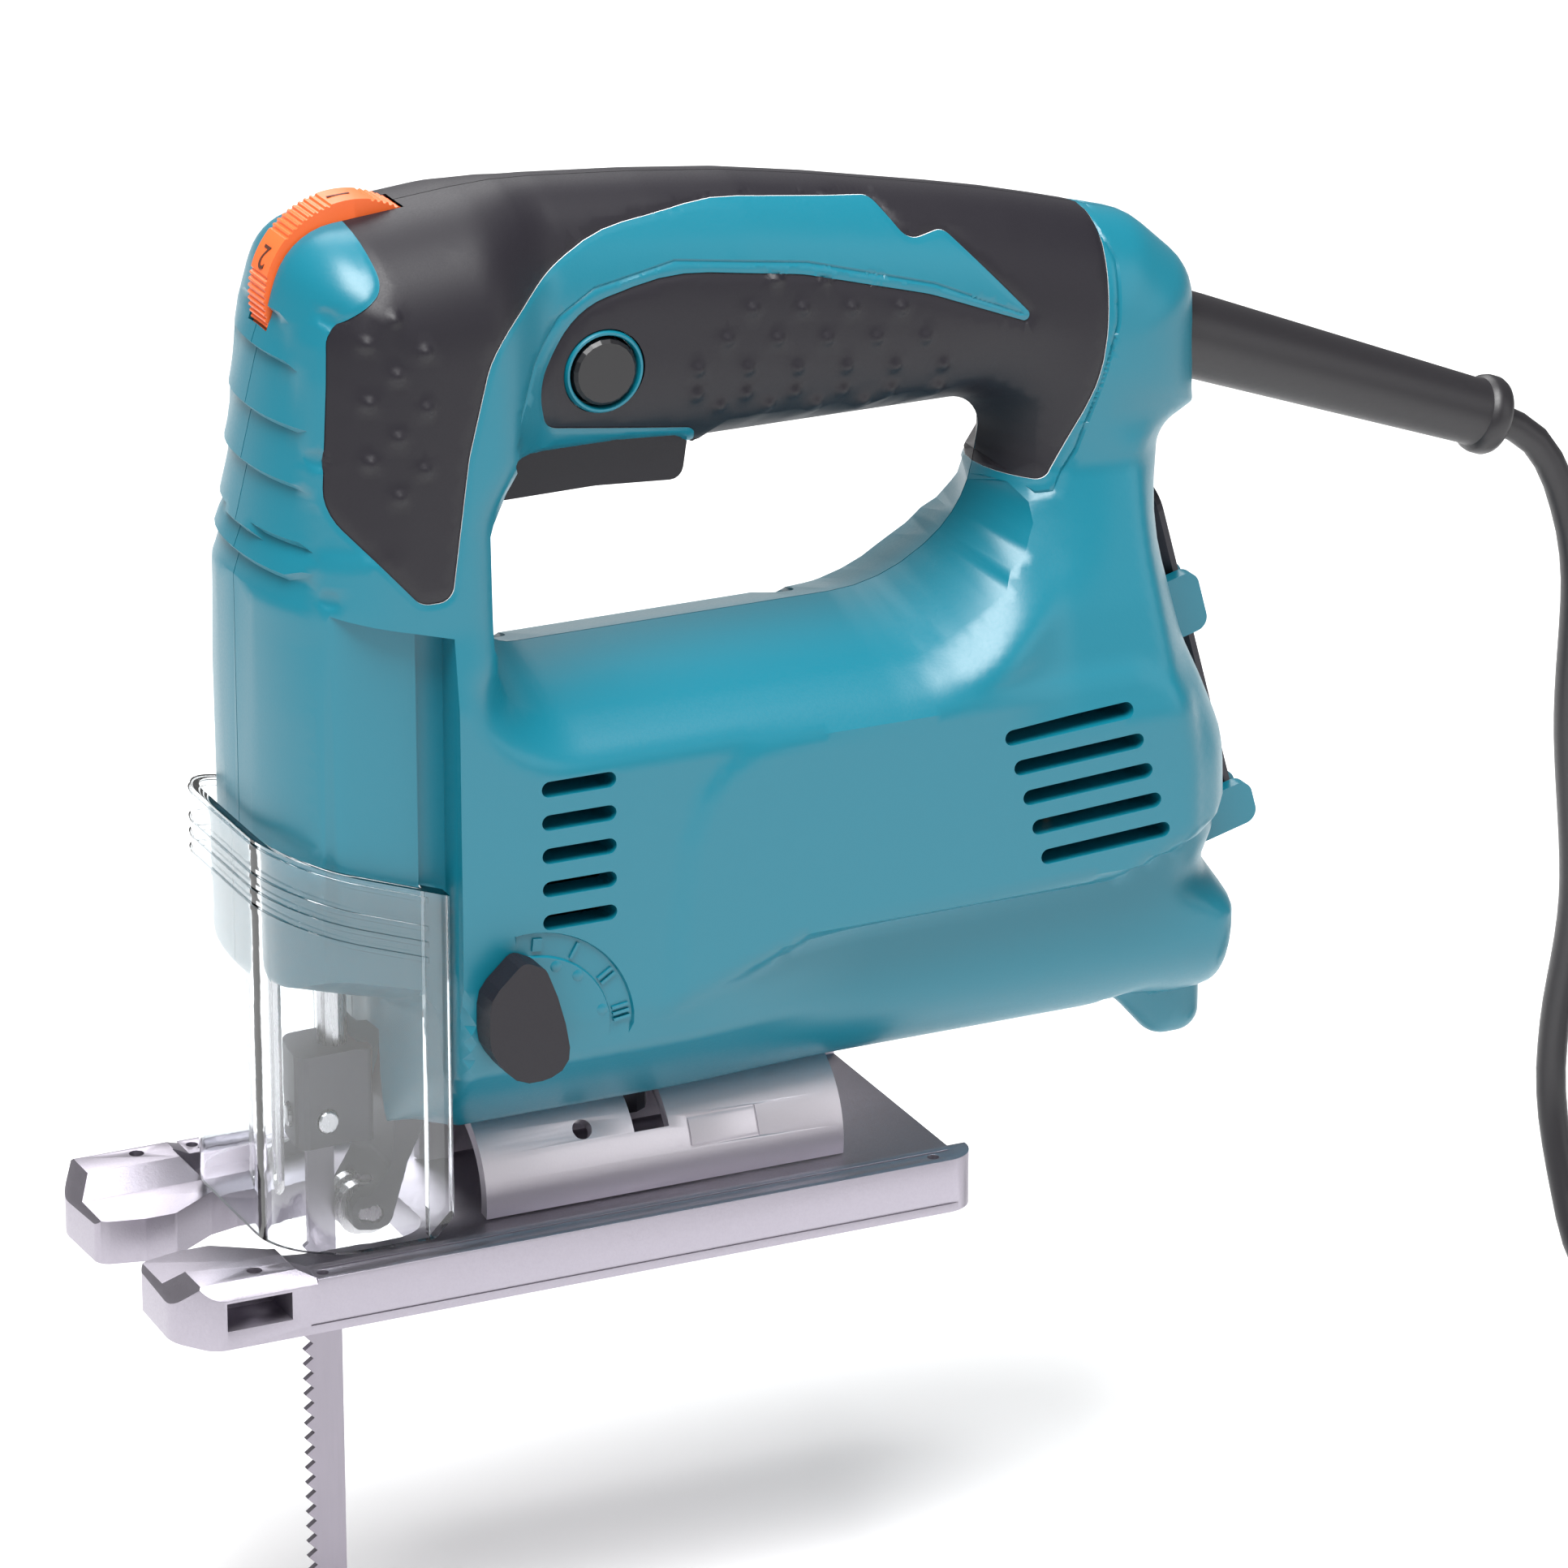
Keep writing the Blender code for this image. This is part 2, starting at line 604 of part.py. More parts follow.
# ---- clamshell halves and soft grips ------------------------------------------------------------
GEAR_Z = MOTOR_Z + (GEAR_TEETH + PINION_TEETH) / 2 * GEAR_MODULE
GEAR_R = GEAR_TEETH / 2 * GEAR_MODULE
CROSSHEAD_Z = GEAR_Z
GUARD_AXIS = Vector((GUARD_END[0] - GUARD_START[0], 0, GUARD_END[1] - GUARD_START[1])).normalized()
GUARD_ORIGIN = Vector((GUARD_START[0], 0, GUARD_START[1]))
WRENCH_AXIS = Vector(
    (WRENCH_TOP[0] - WRENCH_FOOT[0], 0, WRENCH_TOP[1] - WRENCH_FOOT[1])
).normalized()
SCREW_SEAT_Y = 8 * MM
SCREW_PLACES = [
    (NOSE_X + 8 * MM, OPENING_TOP - 6 * MM),
    (OPENING_REAR_X + 13 * MM, OPENING_TOP + 25 * MM),
    (OPENING_REAR_X + 17 * MM, SILL_Z + 8 * MM),
    (OPENING_FRONT_X + 11 * MM, SILL_Z - 7 * MM),
    (OPENING_REAR_X - 34 * MM, SILL_Z - 7 * MM),
    (BODY_REAR_X - 12 * MM, MOTOR_Z + 4 * MM),
    (SUPPORT_X[1] - 14 * MM, BODY_BOTTOM + 12 * MM),
]


def grip_outline():
    """The soft grip's edge: front panel, over the handle, down the rear pillar and round the teal crescent."""
    top = HANDLE_TOP + 20 * MM
    return rounded(
        [
            (-36 * MM, top, 0),
            (-33 * MM, HANDLE_TOP - 10 * MM, 4 * MM),
            (-43 * MM, HANDLE_TOP - 17 * MM, 6 * MM),
            (-45.5 * MM, OPENING_TOP + 4 * MM, 10 * MM),
            (-30 * MM, OPENING_TOP - 13.5 * MM, 4 * MM),
            (-24 * MM, OPENING_TOP - 13.5 * MM, 3 * MM),
            (-20 * MM, OPENING_TOP + 12 * MM, 20 * MM),
            (-14.5 * MM, OPENING_TOP + 32 * MM, 14 * MM),
            (10 * MM, HANDLE_TOP - 7.5 * MM, 30 * MM),
            (35 * MM, HANDLE_TOP - 5.5 * MM, 50 * MM),
            (67 * MM, HANDLE_TOP - 10 * MM, 3 * MM),
            (72 * MM, HANDLE_TOP - 17.5 * MM, 4 * MM),
            (79.5 * MM, HANDLE_TOP - 16.5 * MM, 3 * MM),
            (97.5 * MM, HANDLE_TOP - 36 * MM, 1 * MM),
            (75 * MM, HANDLE_TOP - 27 * MM, 30 * MM),
            (50 * MM, HANDLE_TOP - 20 * MM, 30 * MM),
            (24 * MM, HANDLE_TOP - 16 * MM, 40 * MM),
            (6 * MM, HANDLE_TOP - 20 * MM, 14 * MM),
            (-3.5 * MM, HANDLE_TOP - 33 * MM, 8 * MM),
            (-0.5 * MM, HANDLE_TOP - 42 * MM, 5 * MM),
            (30 * MM, HANDLE_TOP - 47 * MM, 3 * MM),
            (36 * MM, OPENING_TOP - 8 * MM, 0),
            (80 * MM, OPENING_TOP - 8 * MM, 0),
            (84 * MM, SILL_Z + 22 * MM, 0),
            (100 * MM, SILL_Z + 20 * MM, 3 * MM),
            (110 * MM, OPENING_TOP + 6 * MM, 40 * MM),
            (112.5 * MM, HANDLE_TOP - 22 * MM, 20 * MM),
            (109 * MM, top, 0),
        ],
        20,
    )


def grown(outline, by):
    """A counter-clockwise outline moved out by a clearance, each corner mitred."""
    moved = []
    for i, here in enumerate(outline):
        before, after = outline[i - 1], outline[(i + 1) % len(outline)]
        first = (Vector(here) - Vector(before)).normalized()
        second = (Vector(after) - Vector(here)).normalized()
        out = (Vector((first.y, -first.x)) + Vector((second.y, -second.x))).normalized()
        reach = by / max(0.5, out.dot(Vector((first.y, -first.x))))
        moved.append(tuple(Vector(here) + out * reach))
    return moved


def vent_cutters(side):
    """Slots through one side: five at the fan, five at the brushes."""
    cutters = []
    inner, outer = side * 20 * MM, side * 36 * MM
    for k in range(5):
        z = MOTOR_Z + 23.2 * MM - 6.35 * MM * k
        slot = slot_outline((FAN_X - 2 * MM, z), (FAN_X + FAN_WIDTH - 1.5 * MM, z), 1.5 * MM, 2)
        cutters.append(as_cutter(prism(f"fan_vent_cutter_{k}", slot, inner, outer, "y", TEAL)))
        z = MOTOR_Z + 18.6 * MM - 6.1 * MM * k
        x = COMMUTATOR_X - 1.5 * MM + 1.9 * MM * k
        slot = slot_outline((x, z), (x + 23.5 * MM, z + 1.4 * MM), 1.5 * MM, 2)
        cutters.append(as_cutter(prism(f"brush_vent_cutter_{k}", slot, inner, outer, "y", TEAL)))
    return cutters


def housing_cutters():
    """The rooms and seats that both halves share."""
    room_front = FAN_X - 1.5 * MM
    room_rear = REAR_BEARING_X - 2 * MM
    cutters = [
        disc(
            "motor_room",
            STATOR_R + GAP,
            (room_front, 0, MOTOR_Z),
            X_AXIS,
            room_rear - room_front,
            TEAL,
            32,
        ),
        disc(
            "front_bearing_seat",
            BEARING_R + GAP,
            (FRONT_BEARING_X - GAP, 0, MOTOR_Z),
            X_AXIS,
            BEARING_WIDTH + 2 * GAP,
            TEAL,
        ),
        disc(
            "rear_bearing_seat",
            BEARING_R + GAP,
            (REAR_BEARING_X - GAP, 0, MOTOR_Z),
            X_AXIS,
            BEARING_WIDTH + 2 * GAP,
            TEAL,
        ),
        disc(
            "shaft_way",
            SHAFT_R + 1.5 * MM,
            (GEAR_X - 4 * MM, 0, MOTOR_Z),
            X_AXIS,
            REAR_BEARING_X - GEAR_X + 5 * MM,
            TEAL,
            16,
        ),
        disc(
            "gear_room",
            GEAR_R + 2.2 * MM,
            (GEAR_X - 9.5 * MM, 0, GEAR_Z),
            X_AXIS,
            GEAR_WIDTH + 9.8 * MM,
            TEAL,
            32,
        ),
        disc(
            "gear_axle_seat",
            GEAR_AXLE_R + GAP,
            (GEAR_X, 0, GEAR_Z),
            X_AXIS,
            GEAR_WIDTH + 8 * MM,
            TEAL,
            12,
        ),
        block(
            "crosshead_room",
            (ROD_X - 5.5 * MM, GEAR_X),
            (-15.5 * MM, 15.5 * MM),
            (
                CROSSHEAD_Z - STROKE / 2 - CROSSHEAD_HEIGHT / 2 - 1 * MM,
                CROSSHEAD_Z + STROKE / 2 + CROSSHEAD_HEIGHT / 2 + 1 * MM,
            ),
            TEAL,
        ),
        disc(
            "rod_way",
            ROD_R + SLIDE_GAP,
            (ROD_X, 0, COLUMN_BOTTOM - 20 * MM),
            Z_AXIS,
            ROD_TOP + STROKE / 2 + 3 * MM - COLUMN_BOTTOM + 20 * MM,
            TEAL,
            16,
        ),
        disc(
            "upper_bush_seat",
            6.5 * MM + GAP,
            (ROD_X, 0, SHELF_Z),
            Z_AXIS,
            12 * MM + 2 * GAP,
            TEAL,
            16,
        ),
        disc(
            "lower_bush_seat",
            6.5 * MM + GAP,
            (ROD_X, 0, COLUMN_BOTTOM - 1 * MM),
            Z_AXIS,
            12 * MM + 2 * GAP,
            TEAL,
            16,
        ),
        block(
            "switch_room",
            (3 * MM, 72 * MM),
            (-11 * MM, 11 * MM),
            (OPENING_TOP + 12 * MM, OPENING_TOP + 31 * MM),
            TEAL,
        ),
        block(
            "trigger_way",
            (TRIGGER_X[0] - 1 * MM, TRIGGER_X[1] + 2 * MM),
            (-TRIGGER_HALF - SLIDE_GAP, TRIGGER_HALF + SLIDE_GAP),
            (TRIGGER_Z[0] - 2 * MM, TRIGGER_Z[1] + 6 * MM),
            TEAL,
        ),
        disc(
            "button_way",
            BUTTON_R + SLIDE_GAP,
            (BUTTON_X, -30 * MM, BUTTON_Z),
            Y_AXIS,
            25 * MM,
            TEAL,
            20,
        ),
        disc(
            "dial_room",
            DIAL_R + SLIDE_GAP,
            (DIAL_X, -DIAL_WIDTH / 2 - SLIDE_GAP, DIAL_Z),
            Y_AXIS,
            DIAL_WIDTH + 2 * SLIDE_GAP,
            TEAL,
            32,
        ),
        disc(
            "dial_hub_seat",
            2.5 * MM + GAP,
            (DIAL_X, -DIAL_WIDTH / 2 - 3 * MM, DIAL_Z),
            Y_AXIS,
            DIAL_WIDTH + 6 * MM,
            TEAL,
            12,
        ),
        block(
            "speed_module_room",
            (DIAL_X - 7 * MM - GAP, DIAL_X + 7 * MM + GAP),
            (DIAL_WIDTH / 2 + 1.5 * MM, DIAL_WIDTH / 2 + 10 * MM),
            (DIAL_Z - 10 * MM - GAP, DIAL_Z + 3 * MM + GAP),
            TEAL,
        ),
        disc(
            "lever_shaft_way",
            LEVER_SHAFT_R + GAP,
            (LEVER_X, -BODY_HALF - 5 * MM, LEVER_Z),
            Y_AXIS,
            28 * MM,
            TEAL,
            16,
        ),
        block(
            "roller_room",
            (CHAMBER_REAR_X - 3 * MM, -15 * MM),
            (-6.5 * MM, 6.5 * MM),
            (BODY_BOTTOM - 2 * MM, BODY_BOTTOM + 20 * MM),
            TEAL,
        ),
        disc(
            "roller_pin_seat",
            1.5 * MM + GAP,
            (-21 * MM, -9 * MM, BODY_BOTTOM + 13 * MM),
            Y_AXIS,
            18 * MM,
            TEAL,
            12,
        ),
        disc(
            "support_saddle",
            SUPPORT_R + SLIDE_GAP,
            (CHAMBER_REAR_X - 5 * MM, 0, SUPPORT_AXIS_Z),
            X_AXIS,
            SUPPORT_X[1] + 6 * MM - CHAMBER_REAR_X,
            TEAL,
            48,
        ),
        disc(
            "bolt_way", BOLT_R + GAP, (BOLT_X, 0, BODY_BOTTOM - 4 * MM), Z_AXIS, 16 * MM, TEAL, 12
        ),
        disc("bolt_nut_seat", 6 * MM, (BOLT_X, 0, BODY_BOTTOM + 5 * MM), Z_AXIS, 5 * MM, TEAL, 6),
        disc(
            "exhaust_way",
            6 * MM,
            (SUPPORT_X[1] + 8 * MM, 0, BODY_BOTTOM + 13 * MM),
            X_AXIS,
            90 * MM,
            TEAL,
            20,
        ),
        disc(
            "exhaust_port",
            9 * MM,
            (SPOUT_REAR_X - 14 * MM, 0, BODY_BOTTOM + 11 * MM),
            X_AXIS,
            20 * MM,
            TEAL,
            24,
        ),
        disc(
            "guard_seat",
            GUARD_R[0] + GAP,
            GUARD_ORIGIN - GUARD_AXIS * (GUARD_ROOT + 10 * MM),
            GUARD_AXIS,
            30 * MM,
            TEAL,
            24,
        ),
    ]
    for y in (-1, 1):
        cutters.append(
            disc(
                f"wire_seat_{y}",
                1.1 * MM + GAP,
                (NOSE_X + 4 * MM, y * 3 * MM, COLUMN_BOTTOM - 5 * MM),
                Z_AXIS,
                12 * MM,
                TEAL,
                12,
            )
        )
    for i, (x, z) in enumerate(SCREW_PLACES):
        cutters.append(
            disc(f"screw_way_{i}", 1.7 * MM + GAP, (x, -11 * MM, z), Y_AXIS, 30 * MM, TEAL, 12)
        )
        cutters.append(
            disc(
                f"screw_head_way_{i}",
                3.3 * MM + GAP,
                (x, SCREW_SEAT_Y - GAP, z),
                Y_AXIS,
                40 * MM,
                TEAL,
                12,
            )
        )
    return [as_cutter(c) for c in cutters]


def wrench_keeper(side):
    """Half of the rear clip and foot cup that hold the wrench, open to the rear."""
    outer = 5 * MM
    clip_middle = Vector((WRENCH_FOOT[0], 0, WRENCH_FOOT[1])) + WRENCH_AXIS * 42 * MM
    normal = Vector((WRENCH_AXIS.z, 0, -WRENCH_AXIS.x))
    pieces = []
    for name, middle, length, back, front in (
        ("clip", clip_middle, 12 * MM, -9 * MM, 3.2 * MM),
        (
            "cup",
            Vector((WRENCH_FOOT[0], 0, WRENCH_FOOT[1])) - WRENCH_AXIS * 1.6 * MM,
            8.5 * MM,
            -14 * MM,
            3.6 * MM,
        ),
    ):
        corners = []
        for along, across in ((-1, back), (-1, front), (1, front), (1, back)):
            point = middle + WRENCH_AXIS * along * length / 2 + normal * across
            corners.append((point.x, point.z, 1.5 * MM if across == front else 0))
        low, high = sorted((side * 2 * GAP, side * outer))
        pieces.append(
            as_cutter(prism(f"{name}_{side}", rounded(corners, 30), low, high, "y", TEAL))
        )
    return pieces


def wrench_way():
    """The slot that lets the wrench tip out to the rear, and its floor in the cup."""
    normal = Vector((WRENCH_AXIS.z, 0, -WRENCH_AXIS.x))
    foot = Vector((WRENCH_FOOT[0], 0, WRENCH_FOOT[1]))
    corners = []
    for along, across in (
        (-1 * MM, -3 * MM), (-1 * MM, 6 * MM), (70 * MM, 6 * MM), (70 * MM, -WRENCH_R - SLIDE_GAP)
    ):
        point = foot + WRENCH_AXIS * along + normal * across
        corners.append((point.x, point.z))
    half = WRENCH_R + SLIDE_GAP
    return as_cutter(prism("wrench_way", corners, -half, half, "y", TEAL))


def column_cutter(side):
    """What is cut away beside the column, so that the dust cover can slide up round it."""
    far_x, far_y = NOSE_X - 20 * MM, 45 * MM
    plan = rounded(
        [
            (NOSE_X, 0, 0),
            (NOSE_X, COLUMN_HALF, COLUMN_CORNER_R),
            (COVER_GROOVE_X, COLUMN_HALF, 0),
            (COVER_GROOVE_X, COVER_GROOVE_HALF, 0),
            (COVER_GROOVE_REAR_X, COVER_GROOVE_HALF, 0),
            (COVER_GROOVE_REAR_X, far_y, 0),
            (far_x, far_y, 0),
            (far_x, 0, 0),
        ],
        18,
    )
    count = len(plan)
    points = [(x, side * (y - GAP), BODY_BOTTOM - 9 * MM) for x, y in plan]
    points += [
        (x, side * (y - GAP), SHELF_Z + 8 * MM - (x - NOSE_X) * SHELF_SLOPE) for x, y in plan
    ]
    faces = [list(range(count)), list(range(count, 2 * count))]
    faces += [[i, (i + 1) % count, count + (i + 1) % count, count + i] for i in range(count)]
    return as_cutter(
        add_object(f"column_cutter_{side}", mesh_from("column_cutter", points, faces), TEAL)
    )


def make_housing():
    shared = housing_cutters()
    way = wrench_way()
    for side, name in ((-1, "left"), (1, "right")):
        half = shaped_solid(f"housing_{name}", side, 0.0, 12 * MM, TEAL)
        shell_boolean(half, wrench_keeper(side), "UNION")
        core = as_cutter(shaped_solid(f"grip_core_{name}", side, SKIN + GAP, 12 * MM, TEAL, 0.0))
        far = side * 45 * MM
        pocket = as_cutter(
            prism(f"grip_pocket_{name}", grown(grip_outline(), GAP), *sorted((0.0, far)), "y", TEAL)
        )
        shell_boolean(pocket, [core])
        shell_boolean(half, [pocket, way, column_cutter(side)] + shared + vent_cutters(side))
        grip = shaped_solid(f"grip_{name}", side, 0.0, 12 * MM, SOFT)
        keep = as_cutter(prism(f"grip_edge_{name}", grip_outline(), *sorted((0.0, far)), "y", SOFT))
        body = as_cutter(shaped_solid(f"grip_back_{name}", side, SKIN, 12 * MM, SOFT, 0.0))
        shell_boolean(grip, [keep], "INTERSECT")
        shell_boolean(grip, [body])
        if side < 0:
            ways = [c for c in shared if c.name in ("button_way", "trigger_way", "dial_room")]
        else:
            ways = [
                c
                for c in shared
                if c.name.startswith("screw_head") or c.name in ("trigger_way", "dial_room")
            ]
        shell_boolean(grip, ways)


make_housing()


# ---- motor --------------------------------------------------------------------------------------


def toothed_outline(teeth, tip_r, root_r, tip_half, root_half, turn=0.0):
    """A gear's outline: trapezoid teeth, half as wide as tip_half and root_half at their ends."""
    outline = []
    for k in range(teeth):
        middle = turn + 2 * math.pi * k / teeth
        for radius, half, sign in (
            (root_r, root_half, -1),
            (tip_r, tip_half, -1),
            (tip_r, tip_half, 1),
            (root_r, root_half, 1),
        ):
            angle = middle + sign * half / radius
            outline.append((radius * math.cos(angle), radius * math.sin(angle)))
    return outline


def bored(obj, radius, origin, axis, length, sides=16):
    cutter = as_cutter(disc(f"{obj.name}_bore", radius, origin, axis, length, TEAL, sides))
    return boolean(obj, [cutter])


def make_stator():
    ring(
        "stator_core",
        STATOR_R,
        STATOR_BORE_R,
        (STATOR_FRONT_X, 0, MOTOR_Z),
        X_AXIS,
        STATOR_LENGTH,
        DARK_STEEL,
        32,
    )
    coil_outer, coil_inner = STATOR_R - 2 * MM, STATOR_BORE_R + 1.2 * MM
    rear = STATOR_FRONT_X + STATOR_LENGTH + GAP
    for name, x in (("front", STATOR_FRONT_X - GAP - COIL_LENGTH), ("rear", rear)):
        ring(
            f"field_coil_{name}",
            coil_outer,
            coil_inner,
            (x, 0, MOTOR_Z),
            X_AXIS,
            COIL_LENGTH,
            COPPER,
            20,
        )
    for name, x in (("front", FRONT_BEARING_X), ("rear", REAR_BEARING_X)):
        ring(
            f"{name}_bearing",
            BEARING_R,
            SHAFT_R + PRESS,
            (x, 0, MOTOR_Z),
            X_AXIS,
            BEARING_WIDTH,
            STEEL,
            16,
        )


def make_brushes():
    """A carbon brush in its holder on each side of the commutator."""
    middle_x = COMMUTATOR_X + COMMUTATOR_LENGTH / 2
    for side, name in ((-1, "left"), (1, "right")):
        near, far = COMMUTATOR_R + 0.5 * MM, COMMUTATOR_R + 11 * MM
        block(
            f"brush_{name}",
            (middle_x - 3 * MM, middle_x + 3 * MM),
            sorted((side * near, side * far)),
            (MOTOR_Z - 2 * MM, MOTOR_Z + 2 * MM),
            CARBON,
        )
        holder = block(
            f"brush_holder_{name}",
            (middle_x - 4.6 * MM, middle_x + 4.6 * MM),
            sorted((side * (near + 2 * MM), side * (far + 1.5 * MM))),
            (MOTOR_Z - 3.6 * MM, MOTOR_Z + 3.6 * MM),
            BRASS,
        )
        way = block(
            f"brush_way_{name}",
            (middle_x - 3 * MM - GAP, middle_x + 3 * MM + GAP),
            sorted((side * COMMUTATOR_R, side * (far + 4 * MM))),
            (MOTOR_Z - 2 * MM - GAP, MOTOR_Z + 2 * MM + GAP),
            BRASS,
        )
        boolean(holder, [as_cutter(way)])


def make_armature():
    """Everything that spins with the motor shaft, and the pinion cut on its front end."""
    pinion_front = GEAR_X - 0.5 * MM
    pinion_rear = GEAR_X + GEAR_WIDTH + 0.6 * MM
    shaft_front = pinion_rear + GAP
    shaft_length = REAR_BEARING_X + BEARING_WIDTH - shaft_front
    disc("motor_shaft", SHAFT_R, (shaft_front, 0, MOTOR_Z), X_AXIS, shaft_length, STEEL, 16)
    pitch_r = PINION_TEETH / 2 * GEAR_MODULE
    outline = toothed_outline(
        PINION_TEETH, pitch_r + 0.65 * MM, pitch_r - 1 * MM, 0.22 * MM, 0.6 * MM, math.pi / 2 + math.pi / PINION_TEETH
    )
    prism("pinion", [(y, MOTOR_Z + z) for y, z in outline], pinion_front, pinion_rear, "x", STEEL)
    ring(
        "armature_core",
        CORE_R,
        SHAFT_R + PRESS,
        (STATOR_FRONT_X, 0, MOTOR_Z),
        X_AXIS,
        STATOR_LENGTH,
        DARK_STEEL,
        16,
    )
    ring(
        "commutator",
        COMMUTATOR_R,
        SHAFT_R + PRESS,
        (COMMUTATOR_X, 0, MOTOR_Z),
        X_AXIS,
        COMMUTATOR_LENGTH,
        COPPER,
        16,
    )
    blades = toothed_outline(9, FAN_R, FAN_R * 0.36, 0.9 * MM, 1.1 * MM)
    fan = prism(
        "cooling_fan",
        [(y, MOTOR_Z + z) for y, z in blades],
        FAN_X,
        FAN_X + FAN_WIDTH - 1 * MM,
        "x",
        BLACK,
    )
    plate = as_cutter(
        disc(
            "fan_plate",
            FAN_R - 1 * MM,
            (FAN_X + FAN_WIDTH - 2 * MM, 0, MOTOR_Z),
            X_AXIS,
            2 * MM,
            BLACK,
            18,
        )
    )
    boolean(fan, [plate], "UNION")
    bored(fan, SHAFT_R + PRESS, (FAN_X - 1 * MM, 0, MOTOR_Z), X_AXIS, FAN_WIDTH + 2 * MM)


make_stator()
make_brushes()
make_armature()


# ---- gear and plunger ---------------------------------------------------------------------------
def make_crank_gear():
    pitch_r = GEAR_R
    outline = toothed_outline(
        GEAR_TEETH, pitch_r + 0.65 * MM, pitch_r - 1 * MM, 0.3 * MM, 0.8 * MM, -math.pi / 2
    )
    gear = prism(
        "crank_gear", [(y, GEAR_Z + z) for y, z in outline], GEAR_X, GEAR_X + GEAR_WIDTH, "x", STEEL
    )
    bored(gear, GEAR_AXLE_R + GAP, (GEAR_X - 1 * MM, 0, GEAR_Z), X_AXIS, GEAR_WIDTH + 2 * MM, 12)
    disc("gear_axle", GEAR_AXLE_R, (GEAR_X, 0, GEAR_Z), X_AXIS, GEAR_WIDTH + 7.6 * MM, STEEL, 12)
    pin_front = CROSSHEAD_REAR_X + 0.5 * MM
    disc(
        "crank_pin",
        CRANK_PIN_R,
        (pin_front, STROKE / 2, GEAR_Z),
        X_AXIS,
        GEAR_X - GAP - pin_front,
        STEEL,
        12,
    )


def make_plunger():
    disc(
        "plunger_rod",
        ROD_R,
        (ROD_X, 0, ROD_BOTTOM),
        Z_AXIS,
        ROD_TOP - ROD_BOTTOM,
        STEEL,
        16,
        0.6 * MM,
    )
    front = ROD_X - 4.6 * MM
    head = block(
        "crosshead",
        (front, CROSSHEAD_REAR_X),
        (-CROSSHEAD_HALF, CROSSHEAD_HALF),
        (CROSSHEAD_Z - CROSSHEAD_HEIGHT / 2, CROSSHEAD_Z + CROSSHEAD_HEIGHT / 2),
        STEEL,
    )
    slot_half = CRANK_PIN_R + GAP
    slot = block(
        "crank_pin_slot",
        (CROSSHEAD_REAR_X - 3.5 * MM, CROSSHEAD_REAR_X + 1 * MM),
        (-STROKE / 2 - slot_half, STROKE / 2 + slot_half),
        (CROSSHEAD_Z - slot_half, CROSSHEAD_Z + slot_half),
        STEEL,
    )
    bore = disc(
        "crosshead_bore",
        ROD_R + PRESS,
        (ROD_X, 0, CROSSHEAD_Z - 10 * MM),
        Z_AXIS,
        20 * MM,
        STEEL,
        16,
    )
    boolean(head, [as_cutter(slot), as_cutter(bore)])
    for name, z in (
        ("upper_bushing", SHELF_Z + GAP), ("lower_bushing", COLUMN_BOTTOM - 1 * MM + GAP)
    ):
        ring(name, 6.5 * MM, ROD_R + ROD_CLEARANCE, (ROD_X, 0, z), Z_AXIS, 12 * MM, BRASS, 16)


def make_blade_clamp():
    """Tool-less blade holder on the plunger's foot, with its two clamping screws."""
    front, rear = BLADE_BACK_X - 10.1 * MM, ROD_X + 4.3 * MM
    corners = [
        (front, -CLAMP_HALF, 2.5 * MM),
        (rear, -CLAMP_HALF, 1.2 * MM),
        (rear, CLAMP_HALF, 1.2 * MM),
        (front, CLAMP_HALF, 2.5 * MM),
    ]
    clamp = prism("blade_clamp", rounded(corners, 30), CLAMP_BOTTOM, CLAMP_TOP, "z", DARK_STEEL)
    bore = disc(
        "clamp_bore", ROD_R + PRESS, (ROD_X, 0, ROD_BOTTOM - GAP), Z_AXIS, 20 * MM, STEEL, 16
    )
    slot = block(
        "blade_slot",
        (BLADE_BACK_X - BLADE_WIDTH - GAP, BLADE_BACK_X + GAP),
        (-BLADE_THICKNESS / 2 - GAP, BLADE_THICKNESS / 2 + GAP),
        (CLAMP_BOTTOM - 5 * MM, ROD_BOTTOM - 1.2 * MM),
        STEEL,
    )
    screw_z = CLAMP_BOTTOM + 5 * MM
    front_way = disc(
        "front_screw_way", 2.2 * MM + GAP, (front - 2 * MM, 0, screw_z), X_AXIS, 5 * MM, STEEL, 12
    )
    side_x = BLADE_BACK_X - BLADE_WIDTH / 2
    side_way = disc(
        "side_screw_way",
        2.2 * MM + GAP,
        (side_x, -CLAMP_HALF - 2 * MM, screw_z),
        Y_AXIS,
        7.2 * MM,
        STEEL,
        12,
    )
    boolean(clamp, [as_cutter(c) for c in (bore, slot, front_way, side_way)])
    disc(
        "clamp_screw_front",
        2.2 * MM,
        (front - 1 * MM, 0, screw_z),
        X_AXIS,
        3.4 * MM,
        STEEL,
        12,
        0.3 * MM,
    )
    disc(
        "clamp_screw_side",
        2.2 * MM,
        (side_x, -CLAMP_HALF - 0.8 * MM, screw_z),
        Y_AXIS,
        5.6 * MM,
        STEEL,
        12,
        0.3 * MM,
    )


